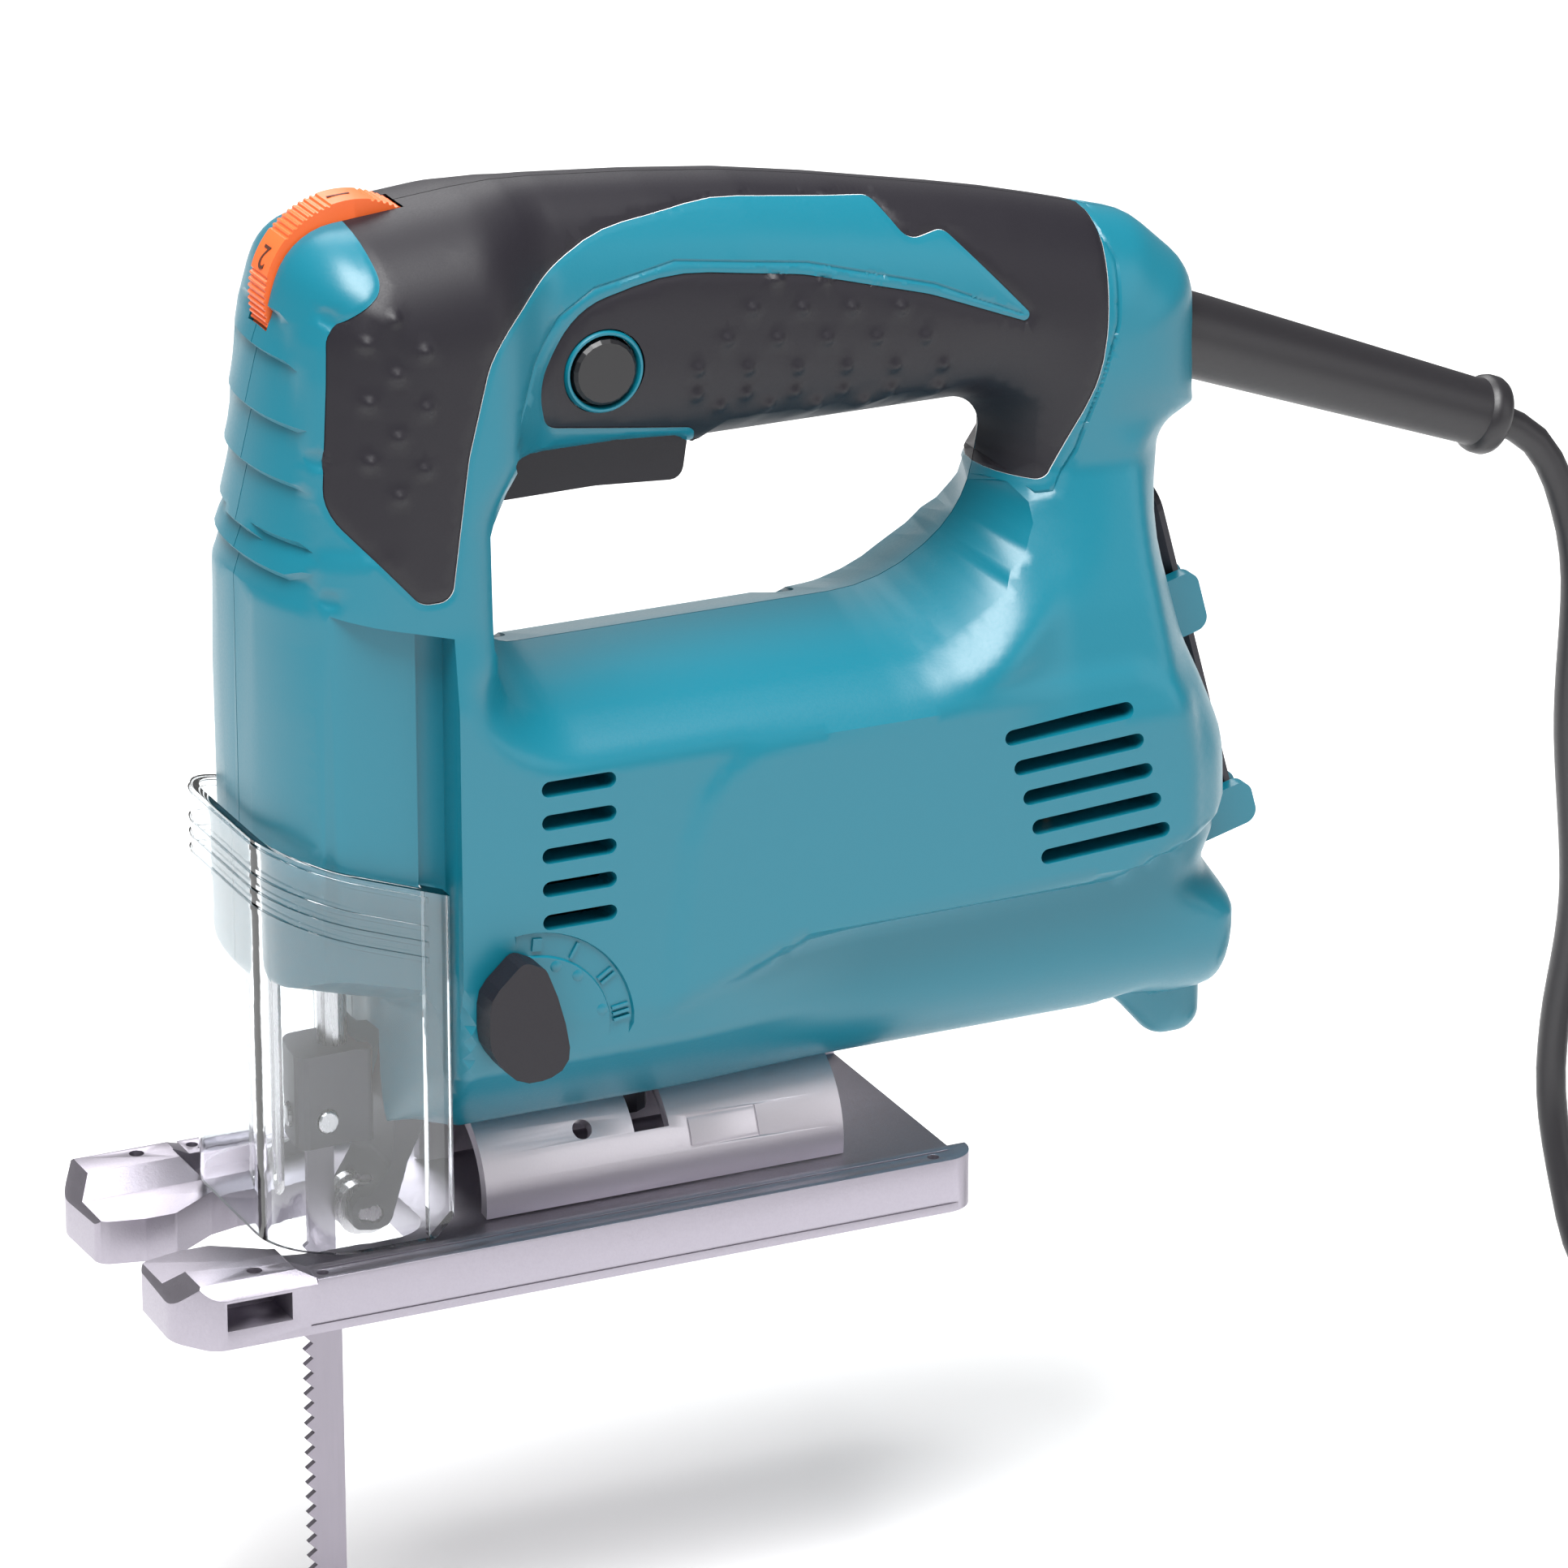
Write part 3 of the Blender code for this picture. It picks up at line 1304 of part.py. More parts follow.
def make_blade():
    """A T-shank saw blade, its teeth facing forward and raked up."""
    top = ROD_BOTTOM - 1.6 * MM
    toothed_top = 2 * MM
    front = BLADE_BACK_X - BLADE_WIDTH
    outline = [(BLADE_BACK_X, top), (front + 1.2 * MM, top), (front + 1.2 * MM, toothed_top)]
    count = int((toothed_top - BLADE_TIP - 6 * MM) / TOOTH_PITCH)
    for k in range(count):
        z = toothed_top - k * TOOTH_PITCH
        outline.append((front, z - 0.7 * MM))
        outline.append((front + TOOTH_DEPTH, z - TOOTH_PITCH + 0.5 * MM))
    outline += [
        (front + 2 * MM, BLADE_TIP),
        (BLADE_BACK_X - 1.5 * MM, BLADE_TIP),
        (BLADE_BACK_X, BLADE_TIP + 4 * MM),
    ]
    prism("saw_blade", outline, -BLADE_THICKNESS / 2, BLADE_THICKNESS / 2, "y", STEEL)


CROSSHEAD_REAR_X = GEAR_X - 5 * MM
CROSSHEAD_HALF = 13 * MM
make_crank_gear()
make_plunger()
make_blade_clamp()
make_blade()


# ---- guide roller and wire guard ----------------------------------------------------------------
FORK_PIVOT = (-21 * MM, BODY_BOTTOM + 13 * MM)
ROLLER_R = 5 * MM
ROLLER_GROOVE = 0.8 * MM
ROLLER_Z = 8 * MM
ROLLER_X = BLADE_BACK_X + GAP + ROLLER_R - ROLLER_GROOVE


def make_guide_roller():
    """Grooved roller behind the blade, in a fork that hangs from a pin in the housing."""
    half = 3.3 * MM
    groove = BLADE_THICKNESS / 2 + 0.6 * MM
    profile = [
        (1.5 * MM + GAP, -half),
        (ROLLER_R, -half),
        (ROLLER_R, -groove),
        (ROLLER_R - ROLLER_GROOVE, -groove),
    ]
    profile += [
        (ROLLER_R - ROLLER_GROOVE, groove),
        (ROLLER_R, groove),
        (ROLLER_R, half),
        (1.5 * MM + GAP, half),
    ]
    turned("guide_roller", profile, (ROLLER_X, 0, ROLLER_Z), Y_AXIS, STEEL, 20)
    disc(
        "roller_pin",
        1.5 * MM,
        (ROLLER_X, -half - 2.4 * MM, ROLLER_Z),
        Y_AXIS,
        2 * half + 4.8 * MM,
        STEEL,
        12,
    )
    x, z = FORK_PIVOT
    shape = [
        (x - 3 * MM, z + 3 * MM, 2.5 * MM),
        (x + 3 * MM, z + 3 * MM, 2.5 * MM),
        (x + 3 * MM, z - 6 * MM, 3 * MM),
        (x - 4 * MM, z - 20 * MM, 3 * MM),
        (ROLLER_X + 3 * MM, ROLLER_Z - 3 * MM, 2.5 * MM),
        (ROLLER_X - 3 * MM, ROLLER_Z - 3 * MM, 2.5 * MM),
        (ROLLER_X - 3 * MM, ROLLER_Z + 1.5 * MM, 2 * MM),
        (x - 7.6 * MM, ROLLER_Z + 9 * MM, 2 * MM),
        (x - 6.5 * MM, z - 10 * MM, 3 * MM),
    ]
    fork = prism(
        "roller_fork", rounded(shape, 40), -half - 2.8 * MM, half + 2.8 * MM, "y", DARK_STEEL
    )
    gap_z = ROLLER_Z + ROLLER_R + 1 * MM
    gap = block(
        "fork_gap",
        (x - 25 * MM, x + 6 * MM),
        (-half - GAP, half + GAP),
        (ROLLER_Z - 10 * MM, gap_z),
        STEEL,
    )
    ways = []
    for name, place_x, place_z in (("pivot", x, z), ("roller", ROLLER_X, ROLLER_Z)):
        ways.append(
            disc(
                f"fork_{name}_way",
                1.5 * MM + GAP,
                (place_x, -10 * MM, place_z),
                Y_AXIS,
                20 * MM,
                STEEL,
                12,
            )
        )
    boolean(fork, [as_cutter(c) for c in [gap] + ways])
    disc("fork_pin", 1.5 * MM, (x, -8.7 * MM, z), Y_AXIS, 17.4 * MM, STEEL, 12)


def make_wire_guard():
    """Bent spring wire in front of the blade, its two legs held in the column's foot."""
    x, half, top, bottom = NOSE_X + 4 * MM, 3 * MM, COLUMN_BOTTOM + 6 * MM, 14 * MM
    points = [(x, -half, top), (x, -half, bottom + half)]
    for k in range(1, 6):
        angle = math.pi * k / 6
        points.append((x, -half * math.cos(angle), bottom + half - half * math.sin(angle)))
    points += [(x, half, bottom + half), (x, half, top)]
    tube_along("wire_guard", points, 1.1 * MM, STEEL, 2)


make_guide_roller()
make_wire_guard()


# ---- shoe and bevel support ---------------------------------------------------------------------
def shoe_plan():
    """Half of the sole's plan outline, (x, y) from the rear middle to the blade bay's middle."""
    tine_inner = [(-71 * MM, TINE_GAP_HALF), (-65 * MM, TINE_GAP_HALF), (-56 * MM, TINE_INNER_Y)]
    corners = [
        (SHOE_REAR_X, SHOE_HALF, 6 * MM),
        (-74.5 * MM, SHOE_HALF, 5 * MM),
        (SHOE_FRONT_X, 27 * MM, 8 * MM),
    ]
    corners.append((SHOE_FRONT_X + 0.5 * MM, TINE_GAP_HALF + 2 * MM, 3 * MM))
    corners += [(x, y, 1.5 * MM) for x, y in tine_inner]
    corners += [(-50 * MM, BLADE_BAY_HALF, 3 * MM), (BLADE_BAY_REAR_X, BLADE_BAY_HALF, 8 * MM)]
    return corners


def make_shoe():
    half = shoe_plan()
    mirrored = [(x, -y, radius) for x, y, radius in reversed(half)]
    shoe = prism("shoe", rounded(half + mirrored, 30), 0, TINE_TOP, "z", PLATE)
    wide, tall = 60 * MM, 40 * MM
    tray_half = SHOE_HALF - FLANGE_WIDTH
    ramp = [
        (TINE_REAR_X, TINE_TOP + 0.2 * MM),
        (TINE_REAR_X + 4.5 * MM, PLATE_TOP),
        (wide * 2, PLATE_TOP),
        (wide * 2, tall),
        (TINE_REAR_X, tall),
    ]
    lower = [
        (TINE_REAR_X, FLANGE_TOP), (wide * 2, FLANGE_TOP), (wide * 2, tall), (TINE_REAR_X, tall)
    ]
    cutters = [
        prism("tray", ramp, -tray_half, tray_half, "y", PLATE),
        prism("flange_tops", lower, -wide, wide, "y", PLATE),
        disc("bolt_access", 8 * MM, (BOLT_X, 0, -1 * MM), Z_AXIS, tall, PLATE, 20),
    ]
    for side in (-1, 1):
        low, high = sorted((side * 25 * MM, side * wide))
        slot_z = [(FENCE_SLOT_X[0], FENCE_SLOT_Z[0]), (FENCE_SLOT_X[1], FENCE_SLOT_Z[0])]
        slot_z += [(FENCE_SLOT_X[1], FENCE_SLOT_Z[1]), (FENCE_SLOT_X[0], FENCE_SLOT_Z[1])]
        cutters.append(prism(f"fence_slot_{side}", slot_z, low, high, "y", PLATE))
        shelf = [
            (side * TINE_GAP_HALF / 2, 8.5 * MM),
            (side * 20 * MM, 8.5 * MM),
            (side * 27 * MM, tall),
            (side * TINE_GAP_HALF / 2, tall),
        ]
        cutters.append(
            prism(f"tine_shelf_{side}", shelf, -wide * 2, TINE_REAR_X + 6 * MM, "x", PLATE)
        )
    boolean(shoe, [as_cutter(c) for c in cutters])


def make_bevel_support():
    """Half-round cast saddle on the shoe, slotted across so that the shoe can tilt round it."""
    outer, inner = SUPPORT_R, SUPPORT_R - SUPPORT_WALL
    outline = []
    floor = PLATE_TOP + GAP - SUPPORT_AXIS_Z
    for radius, direction in ((outer, 1), (inner, -1)):
        start = math.asin(floor / radius)
        angles = [start + (math.pi - 2 * start) * k / 14 for k in range(15)][::direction]
        outline += [(radius * math.cos(a), SUPPORT_AXIS_Z + radius * math.sin(a)) for a in angles]
    support = prism("bevel_support", outline, SUPPORT_X[0], SUPPORT_X[1], "x", CAST)
    slot = []
    for radius, direction in ((outer + 4 * MM, 1), (inner - 4 * MM, -1)):
        angles = [(30 + 120 * k / 8) * DEGREE for k in range(9)][::direction]
        slot += [(radius * math.cos(a), SUPPORT_AXIS_Z + radius * math.sin(a)) for a in angles]
    half = BOLT_R + SLIDE_GAP
    boolean(
        support, [as_cutter(prism("bevel_slot", slot, BOLT_X - half, BOLT_X + half, "x", CAST))]
    )


def make_bevel_bolt():
    head_top = SUPPORT_AXIS_Z + SUPPORT_R - SUPPORT_WALL - 1.8 * MM
    profile = [
        (0, head_top - 4.5 * MM),
        (5 * MM, head_top - 4.5 * MM),
        (5 * MM, head_top),
        (BOLT_R, head_top),
    ]
    profile += [(BOLT_R, BODY_BOTTOM + 10.5 * MM), (0, BODY_BOTTOM + 10.5 * MM)]
    turned("bevel_bolt", profile, (BOLT_X, 0, 0), Z_AXIS, DARK_STEEL, 12)
    nut_z = BODY_BOTTOM + 5 * MM + GAP
    nut = disc(
        "bolt_nut", 6 * MM - 1.2 * GAP, (BOLT_X, 0, nut_z), Z_AXIS, 5 * MM - 2 * GAP, STEEL, 6
    )
    bored(nut, BOLT_R + GAP, (BOLT_X, 0, nut_z - 1 * MM), Z_AXIS, 8 * MM, 12)


make_shoe()
make_bevel_support()
make_bevel_bolt()


# ---- dust cover ---------------------------------------------------------------------------------
def cover_plan(grow):
    """Half of the cover's plan outline at its outer face less grow, with its lips in the column's grooves."""
    outer_half = COLUMN_HALF + SLIDE_GAP + COVER_WALL
    front = COVER_FRONT_X + grow
    return [
        (front, 0, 0),
        (front, outer_half - grow, COLUMN_CORNER_R + 2 * MM - grow),
        (COVER_REAR_X, outer_half - grow, 0),
    ]


COVER_FRONT_X = NOSE_X - 3.5 * MM


def make_dust_cover():
    outer = cover_plan(0)
    inner = cover_plan(COVER_WALL)
    lip = COVER_GROOVE_HALF + SLIDE_GAP
    lip_front = COVER_GROOVE_X + SLIDE_GAP
    right = outer + [(COVER_REAR_X, lip, 0), (lip_front, lip, 0), (lip_front, inner[1][1], 0)] + inner[1::-1]
    outline = [p[:3] for p in right[1:-1]]
    left = [(x, -y, radius) for x, y, radius in reversed(outline)]
    cover = prism(
        "dust_cover", rounded(outline + left, 18), COVER_BOTTOM, COVER_TOP_FRONT, "z", CLEAR
    )
    top = [
        (COVER_FRONT_X - 5 * MM, COVER_TOP_FRONT - 5 * MM),
        (COVER_REAR_X + 5 * MM, COVER_TOP_SIDE - 2 * MM),
    ]
    top += [
        (COVER_REAR_X + 5 * MM, COVER_TOP_FRONT + 10 * MM),
        (COVER_FRONT_X - 5 * MM, COVER_TOP_FRONT + 10 * MM),
    ]
    foot = [
        (-33 * MM, COVER_BOTTOM - 4 * MM),
        (-20 * MM, COVER_BOTTOM + 9 * MM),
        (-20 * MM, COVER_BOTTOM - 4 * MM),
    ]
    wide = 40 * MM
    cutters = [
        prism("cover_top", top, -wide, wide, "y", CLEAR),
        prism("cover_foot", foot, -wide, wide, "y", CLEAR),
    ]
    boolean(cover, [as_cutter(c) for c in cutters])


make_dust_cover()


# ---- controls -----------------------------------------------------------------------------------
def make_controls():
    low, high = TRIGGER_Z
    shape = [
        (TRIGGER_X[0] + 0.4 * MM, low + 1 * MM, 2 * MM),
        (TRIGGER_X[0] + 0.4 * MM, high - 0.5 * MM, 1 * MM),
        (TRIGGER_X[0] + 9 * MM, high - 1.5 * MM, 1 * MM),
        (TRIGGER_X[1], high - 5 * MM, 1 * MM),
        (TRIGGER_X[1] - 1.5 * MM, low, 2.5 * MM),
        (TRIGGER_X[0] + 20 * MM, low + 1.2 * MM, 30 * MM),
    ]
    prism("trigger", rounded(shape, 25), -TRIGGER_HALF, TRIGGER_HALF, "y", SOFT)
    face = float(half_width(np.array([BUTTON_X]), np.array([BUTTON_Z]))[0]) + 1 * MM
    disc(
        "lock_button",
        BUTTON_R,
        (BUTTON_X, -face, BUTTON_Z),
        Y_AXIS,
        face - 11 * MM,
        BLACK,
        20,
        0.6 * MM,
    )
    block(
        "switch_body",
        (20 * MM, 50 * MM),
        (-9 * MM, 9 * MM),
        (OPENING_TOP + 16 * MM, OPENING_TOP + 29 * MM),
        BLACK,
    )
    half = DIAL_WIDTH / 2
    hub = 2.5 * MM
    profile = [
        (0, -half - 2.7 * MM),
        (hub, -half - 2.7 * MM),
        (hub, -half),
        (DIAL_R - 1 * MM, -half),
        (DIAL_R, -half + 1 * MM),
    ]
    profile += [
        (DIAL_R, half - 1 * MM),
        (DIAL_R - 1 * MM, half),
        (hub, half),
        (hub, half + 1.1 * MM),
        (0, half + 1.1 * MM),
    ]
    turned("speed_dial", profile, (DIAL_X, 0, DIAL_Z), Y_AXIS, ORANGE, 28)
    block(
        "speed_module",
        (DIAL_X - 7 * MM, DIAL_X + 7 * MM),
        (half + 1.8 * MM, half + 9.7 * MM),
        (DIAL_Z - 10 * MM, DIAL_Z + 3 * MM),
        WHITE,
    )


def make_orbit_lever():
    """Pointer knob on the left side, and the shaft that carries it."""
    face = -BODY_HALF - GAP
    shape = [
        (LEVER_X - 3.4 * MM, LEVER_Z + 18.3 * MM, 2 * MM),
        (LEVER_X - 10.2 * MM, LEVER_Z + 12 * MM, 6 * MM),
        (LEVER_X - 10.3 * MM, LEVER_Z + 2 * MM, 8 * MM),
        (LEVER_X - 4.5 * MM, LEVER_Z - 6 * MM, 7 * MM),
        (LEVER_X + 6 * MM, LEVER_Z - 4 * MM, 6 * MM),
        (LEVER_X + 4.5 * MM, LEVER_Z + 5 * MM, 4 * MM),
        (LEVER_X + 3 * MM, LEVER_Z + 10.5 * MM, 3 * MM),
        (LEVER_X + 0.8 * MM, LEVER_Z + 16.2 * MM, 2 * MM),
    ]
    prism("orbit_lever", rounded(shape, 30), face - 6 * MM, face, "y", SOFT)
    disc("orbit_shaft", LEVER_SHAFT_R, (LEVER_X, face + GAP, LEVER_Z), Y_AXIS, 22 * MM, STEEL, 12)


def make_hex_wrench():
    """L-shaped key clipped upright at the rear, its short arm across the top."""
    foot, top = Vector((WRENCH_FOOT[0], 0, WRENCH_FOOT[1])), Vector(
        (WRENCH_TOP[0], 0, WRENCH_TOP[1])
    )
    radius = 4 * MM
    points = [foot, foot.lerp(top, 0.5), top - WRENCH_AXIS * radius]
    for k in range(1, 6):
        angle = math.pi / 2 * k / 6
        across = Vector((0, 1, 0)) * radius * (1 - math.cos(angle))
        points.append(top - WRENCH_AXIS * radius * (1 - math.sin(angle)) + across)
    points += [top + Vector((0, radius, 0)), top + Vector((0, 18 * MM, 0))]
    tube_along("hex_wrench", points, WRENCH_R, DARK_STEEL, 1)


make_controls()
make_orbit_lever()
make_hex_wrench()


# ---- fasteners ----------------------------------------------------------------------------------
for number, (screw_x, screw_z) in enumerate(SCREW_PLACES, 1):
    screw_profile = [
        (0, 0), (1.7 * MM, 0), (1.7 * MM, SCREW_SEAT_Y + 9 * MM), (3.3 * MM, SCREW_SEAT_Y + 9 * MM)
    ]
    screw_profile += [(3.3 * MM, SCREW_SEAT_Y + 11.6 * MM), (0, SCREW_SEAT_Y + 11.6 * MM)]
    turned(
        f"housing_screw_{number}",
        screw_profile,
        (screw_x, -9 * MM, screw_z),
        Y_AXIS,
        DARK_STEEL,
        12,
    )


# ---- mains lead ---------------------------------------------------------------------------------
LEAD_R = CORD_DIAMETER / 2
GUARD_LENGTH = math.dist(GUARD_START, GUARD_END)
COIL_PITCH = CORD_DIAMETER + 0.3 * MM
COIL_TOP = FLOOR_Z + COIL_LAYERS * COIL_PITCH
COIL_OUTER_R = COIL_MIDDLE_R + COIL_COLUMNS / 2 * COIL_PITCH


def make_cord_guard():
    bore = LEAD_R + GAP
    profile = [
        (bore, GAP - GUARD_ROOT),
        (GUARD_R[0], GAP - GUARD_ROOT),
        (GUARD_R[0], 0),
        (GUARD_R[1], GUARD_LENGTH - 5 * MM),
        (GUARD_FLANGE_R, GUARD_LENGTH - 4 * MM),
        (GUARD_FLANGE_R, GUARD_LENGTH - 1 * MM),
        (GUARD_R[1], GUARD_LENGTH),
        (bore, GUARD_LENGTH),
    ]
    turned("cord_guard", profile, GUARD_ORIGIN, GUARD_AXIS, BLACK, 20)
    clamp_origin = GUARD_ORIGIN - GUARD_AXIS * (GUARD_ROOT + 8 * MM)
    ring("cord_clamp", GUARD_R[0] - 0.5 * MM, bore, clamp_origin, GUARD_AXIS, 7 * MM, BLACK, 16)


def make_cord():
    """The lead hangs from the guard to a coil that lies on the floor beside the saw."""
    inner_end = GUARD_ORIGIN - GUARD_AXIS * (GUARD_ROOT + 7 * MM)
    leaving = Vector((GUARD_END[0], 0, GUARD_END[1])) + GUARD_AXIS * 2 * MM
    top_turn_z = COIL_TOP - COIL_PITCH / 2
    coil_x = COIL_X - COIL_OUTER_R + COIL_PITCH / 2
    knots = [
        inner_end,
        inner_end.lerp(leaving, 0.5),
        leaving,
        (211 * MM, -1 * MM, 119 * MM),
        (216 * MM, -2 * MM, 108.5 * MM),
        (219 * MM, -3 * MM, 92 * MM),
        (221.5 * MM, 2 * MM, 60 * MM),
        (coil_x - 0.8 * MM, 12 * MM, 20 * MM),
        (coil_x, 19 * MM, -10 * MM),
        (coil_x, 19 * MM, -28 * MM),
        (coil_x, 11 * MM, top_turn_z + 15 * MM),
        (coil_x, 6 * MM, COIL_TOP + LEAD_R + 2 * MM),
    ]
    tube_along("cord_tube", smooth_route(knots, 14 * MM), LEAD_R, CORD_BLACK, 2)
    ring(
        "cord_coil",
        COIL_OUTER_R,
        COIL_MIDDLE_R - COIL_COLUMNS / 2 * COIL_PITCH,
        (COIL_X, COIL_Y, FLOOR_Z),
        Z_AXIS,
        COIL_TOP - FLOOR_Z,
        CORD_BLACK,
        24,
    )


PLUG_X = COIL_X + COIL_OUTER_R + PLUG_R + 7 * MM
PLUG_Z = FLOOR_Z + PLUG_R


def make_cord_tail():
    """The lead's last stretch, from the coil's lowest outer turn round into the plug."""
    turn_y = COIL_Y - COIL_OUTER_R + COIL_PITCH / 2
    low = FLOOR_Z + LEAD_R + 0.1 * MM
    knots = [
        (COIL_X + 24.5 * MM, turn_y, low),
        (COIL_X + 36.5 * MM, turn_y, low),
        (COIL_X + 50.5 * MM, turn_y + 3.8 * MM, low + 0.5 * MM),
        (PLUG_X - 3.8 * MM, turn_y + 14 * MM, low + 2.5 * MM),
        (PLUG_X, turn_y + 28 * MM, PLUG_Z - 1 * MM),
        (PLUG_X, COIL_Y - 5 * MM, PLUG_Z),
        (PLUG_X, COIL_Y - 2 * GAP, PLUG_Z),
    ]
    tube_along("cord_tail", smooth_route(knots, 12 * MM), LEAD_R, CORD_BLACK, 2)


def make_plug():
    """Moulded plug lying beside the coil, its two round pins pointing away."""
    x, y, z = PLUG_X, COIL_Y, PLUG_Z
    profile = [
        (0, 0),
        (4.5 * MM, 0),
        (6 * MM, 10 * MM),
        (PLUG_R, 20 * MM),
        (PLUG_R, PLUG_LENGTH),
        (0, PLUG_LENGTH),
    ]
    plug = turned("plug", profile, (x, y, z), Y_AXIS, BLACK, 16)
    pins = []
    for side in (-1, 1):
        pins.append(
            disc(
                f"plug_pin_{side}",
                2.4 * MM,
                (x + side * 9.5 * MM, y + PLUG_LENGTH - 1 * MM, z),
                Y_AXIS,
                20 * MM,
                STEEL,
                12,
            )
        )
    boolean(plug, [as_cutter(c) for c in pins], "UNION")


make_cord_guard()
make_cord()
make_cord_tail()
make_plug()
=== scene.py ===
"""Looks for the corded jigsaw, built round its CAD frame. Metres, +Z up, the blade end faces -X."""

import math

import bmesh
import bpy
import numpy as np
from mathutils import Matrix, Vector
from mathutils.geometry import delaunay_2d_cdt


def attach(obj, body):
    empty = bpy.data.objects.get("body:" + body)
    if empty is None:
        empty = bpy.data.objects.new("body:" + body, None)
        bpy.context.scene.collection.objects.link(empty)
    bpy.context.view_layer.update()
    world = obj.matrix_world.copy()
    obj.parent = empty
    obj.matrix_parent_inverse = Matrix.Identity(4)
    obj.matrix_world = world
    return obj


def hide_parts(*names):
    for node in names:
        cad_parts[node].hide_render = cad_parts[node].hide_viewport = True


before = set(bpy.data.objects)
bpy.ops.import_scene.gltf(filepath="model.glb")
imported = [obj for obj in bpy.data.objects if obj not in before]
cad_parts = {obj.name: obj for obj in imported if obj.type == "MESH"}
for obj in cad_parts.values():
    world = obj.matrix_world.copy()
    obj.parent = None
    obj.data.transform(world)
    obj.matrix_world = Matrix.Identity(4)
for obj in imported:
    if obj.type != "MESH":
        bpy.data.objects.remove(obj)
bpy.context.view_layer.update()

MM = 0.001
scene = bpy.context.scene

# ---- camera -------------------------------------------------------------------------------------
# A long lens from above the left front corner, as a tool is shown in a catalogue: its sides stay
# nearly parallel, and the blade end, the left side and the top all show.
AZIMUTH = math.radians(-25.18)
ELEVATION = math.radians(21.01)
view_turn = Matrix.Rotation(AZIMUTH, 4, "Z") @ Matrix.Rotation(math.pi / 2 - ELEVATION, 4, "X")
lens = bpy.data.cameras.new("long_lens")
lens.lens = 200
lens.sensor_width = 36
lens.clip_start = 0.05
lens.clip_end = 20
camera = bpy.data.objects.new("camera", lens)
FROM_ORIGIN = Vector((0.048475, 0.07876, 1.60904))  # right, up and back in the view
camera.matrix_world = Matrix.Translation(view_turn @ FROM_ORIGIN) @ view_turn
scene.collection.objects.link(camera)
scene.camera = camera
scene.view_settings.view_transform = "Standard"

# ---- studio -------------------------------------------------------------------------------------
# A white paper floor under a big soft lamp on the left, a weaker one in front and a strip behind
# that draws the long highlights on the handle.
FLOOR_Z = -0.078


def linear(code):
    """An sRGB hex colour as linear RGBA."""
    parts = [int(code[i : i + 2], 16) / 255 for i in (1, 3, 5)]
    return (*[c / 12.92 if c <= 0.04045 else ((c + 0.055) / 1.055) ** 2.4 for c in parts], 1.0)


def add(tree, kind, links=None, **settings):
    """Adds a node; a setting is one of its own properties or, with spaces as _, an input socket."""
    made = tree.nodes.new(kind)
    for name, value in settings.items():
        if hasattr(made, name):
            setattr(made, name, value)
        else:
            made.inputs[name.replace("_", " ")].default_value = value
    for name, source in (links or {}).items():
        tree.links.new(source, made.inputs[name])
    return made


def surface(name, code, roughness, metallic=0.0, **sockets):
    """A material with its uniform values on the shader's own sockets."""
    made = bpy.data.materials.new(name)
    made.use_nodes = True
    tree = made.node_tree
    shader = tree.nodes["Principled BSDF"]
    shader.inputs["Base Color"].default_value = linear(code)
    shader.inputs["Roughness"].default_value = roughness
    shader.inputs["Metallic"].default_value = metallic
    for socket, value in sockets.items():
        shader.inputs[socket.replace("_", " ")].default_value = value
    return made, tree, shader


def grain(tree, shader, size_mm, depth_mm, stretch=(1, 1, 1), rough=None):
    """Fine relief of a real size on the shader's normal, and a matching spread of roughness."""
    place = add(tree, "ShaderNodeTexCoord")
    scaled = add(tree, "ShaderNodeMapping", {"Vector": place.outputs["Object"]})
    scaled.inputs["Scale"].default_value = [1000 / size_mm * s for s in stretch]
    noise = add(tree, "ShaderNodeTexNoise", {"Vector": scaled.outputs[0]}, Scale=1.0, Detail=3.0)
    relief = add(
        tree, "ShaderNodeBump", {
            "Height": noise.outputs["Fac"],
        }, Strength=1.0, Distance=depth_mm * MM
    )
    tree.links.new(relief.outputs["Normal"], shader.inputs["Normal"])
    if rough:
        low, high = rough
        links = {"Value": noise.outputs["Fac"]}
        spread = add(tree, "ShaderNodeMapRange", links, To_Min=low, To_Max=high)
        tree.links.new(spread.outputs[0], shader.inputs["Roughness"])


def mesh_object(name, points, faces, made, smooth_degrees=35, merge=0.002 * MM):
    """A mesh object with its faces turned outward and its sharp edges marked."""
    mesh = bpy.data.meshes.new(name)
    mesh.from_pydata([tuple(map(float, p)) for p in points], [], faces)
    box = bmesh.new()
    box.from_mesh(mesh)
    bmesh.ops.remove_doubles(box, verts=box.verts, dist=merge)
    bmesh.ops.recalc_face_normals(box, faces=box.faces)
    box.to_mesh(mesh)
    box.free()
    if made:
        mesh.materials.append(made)
    mesh.shade_smooth()
    mesh.set_sharp_from_angle(angle=math.radians(smooth_degrees))
    obj = bpy.data.objects.new(name, mesh)
    scene.collection.objects.link(obj)
    return obj


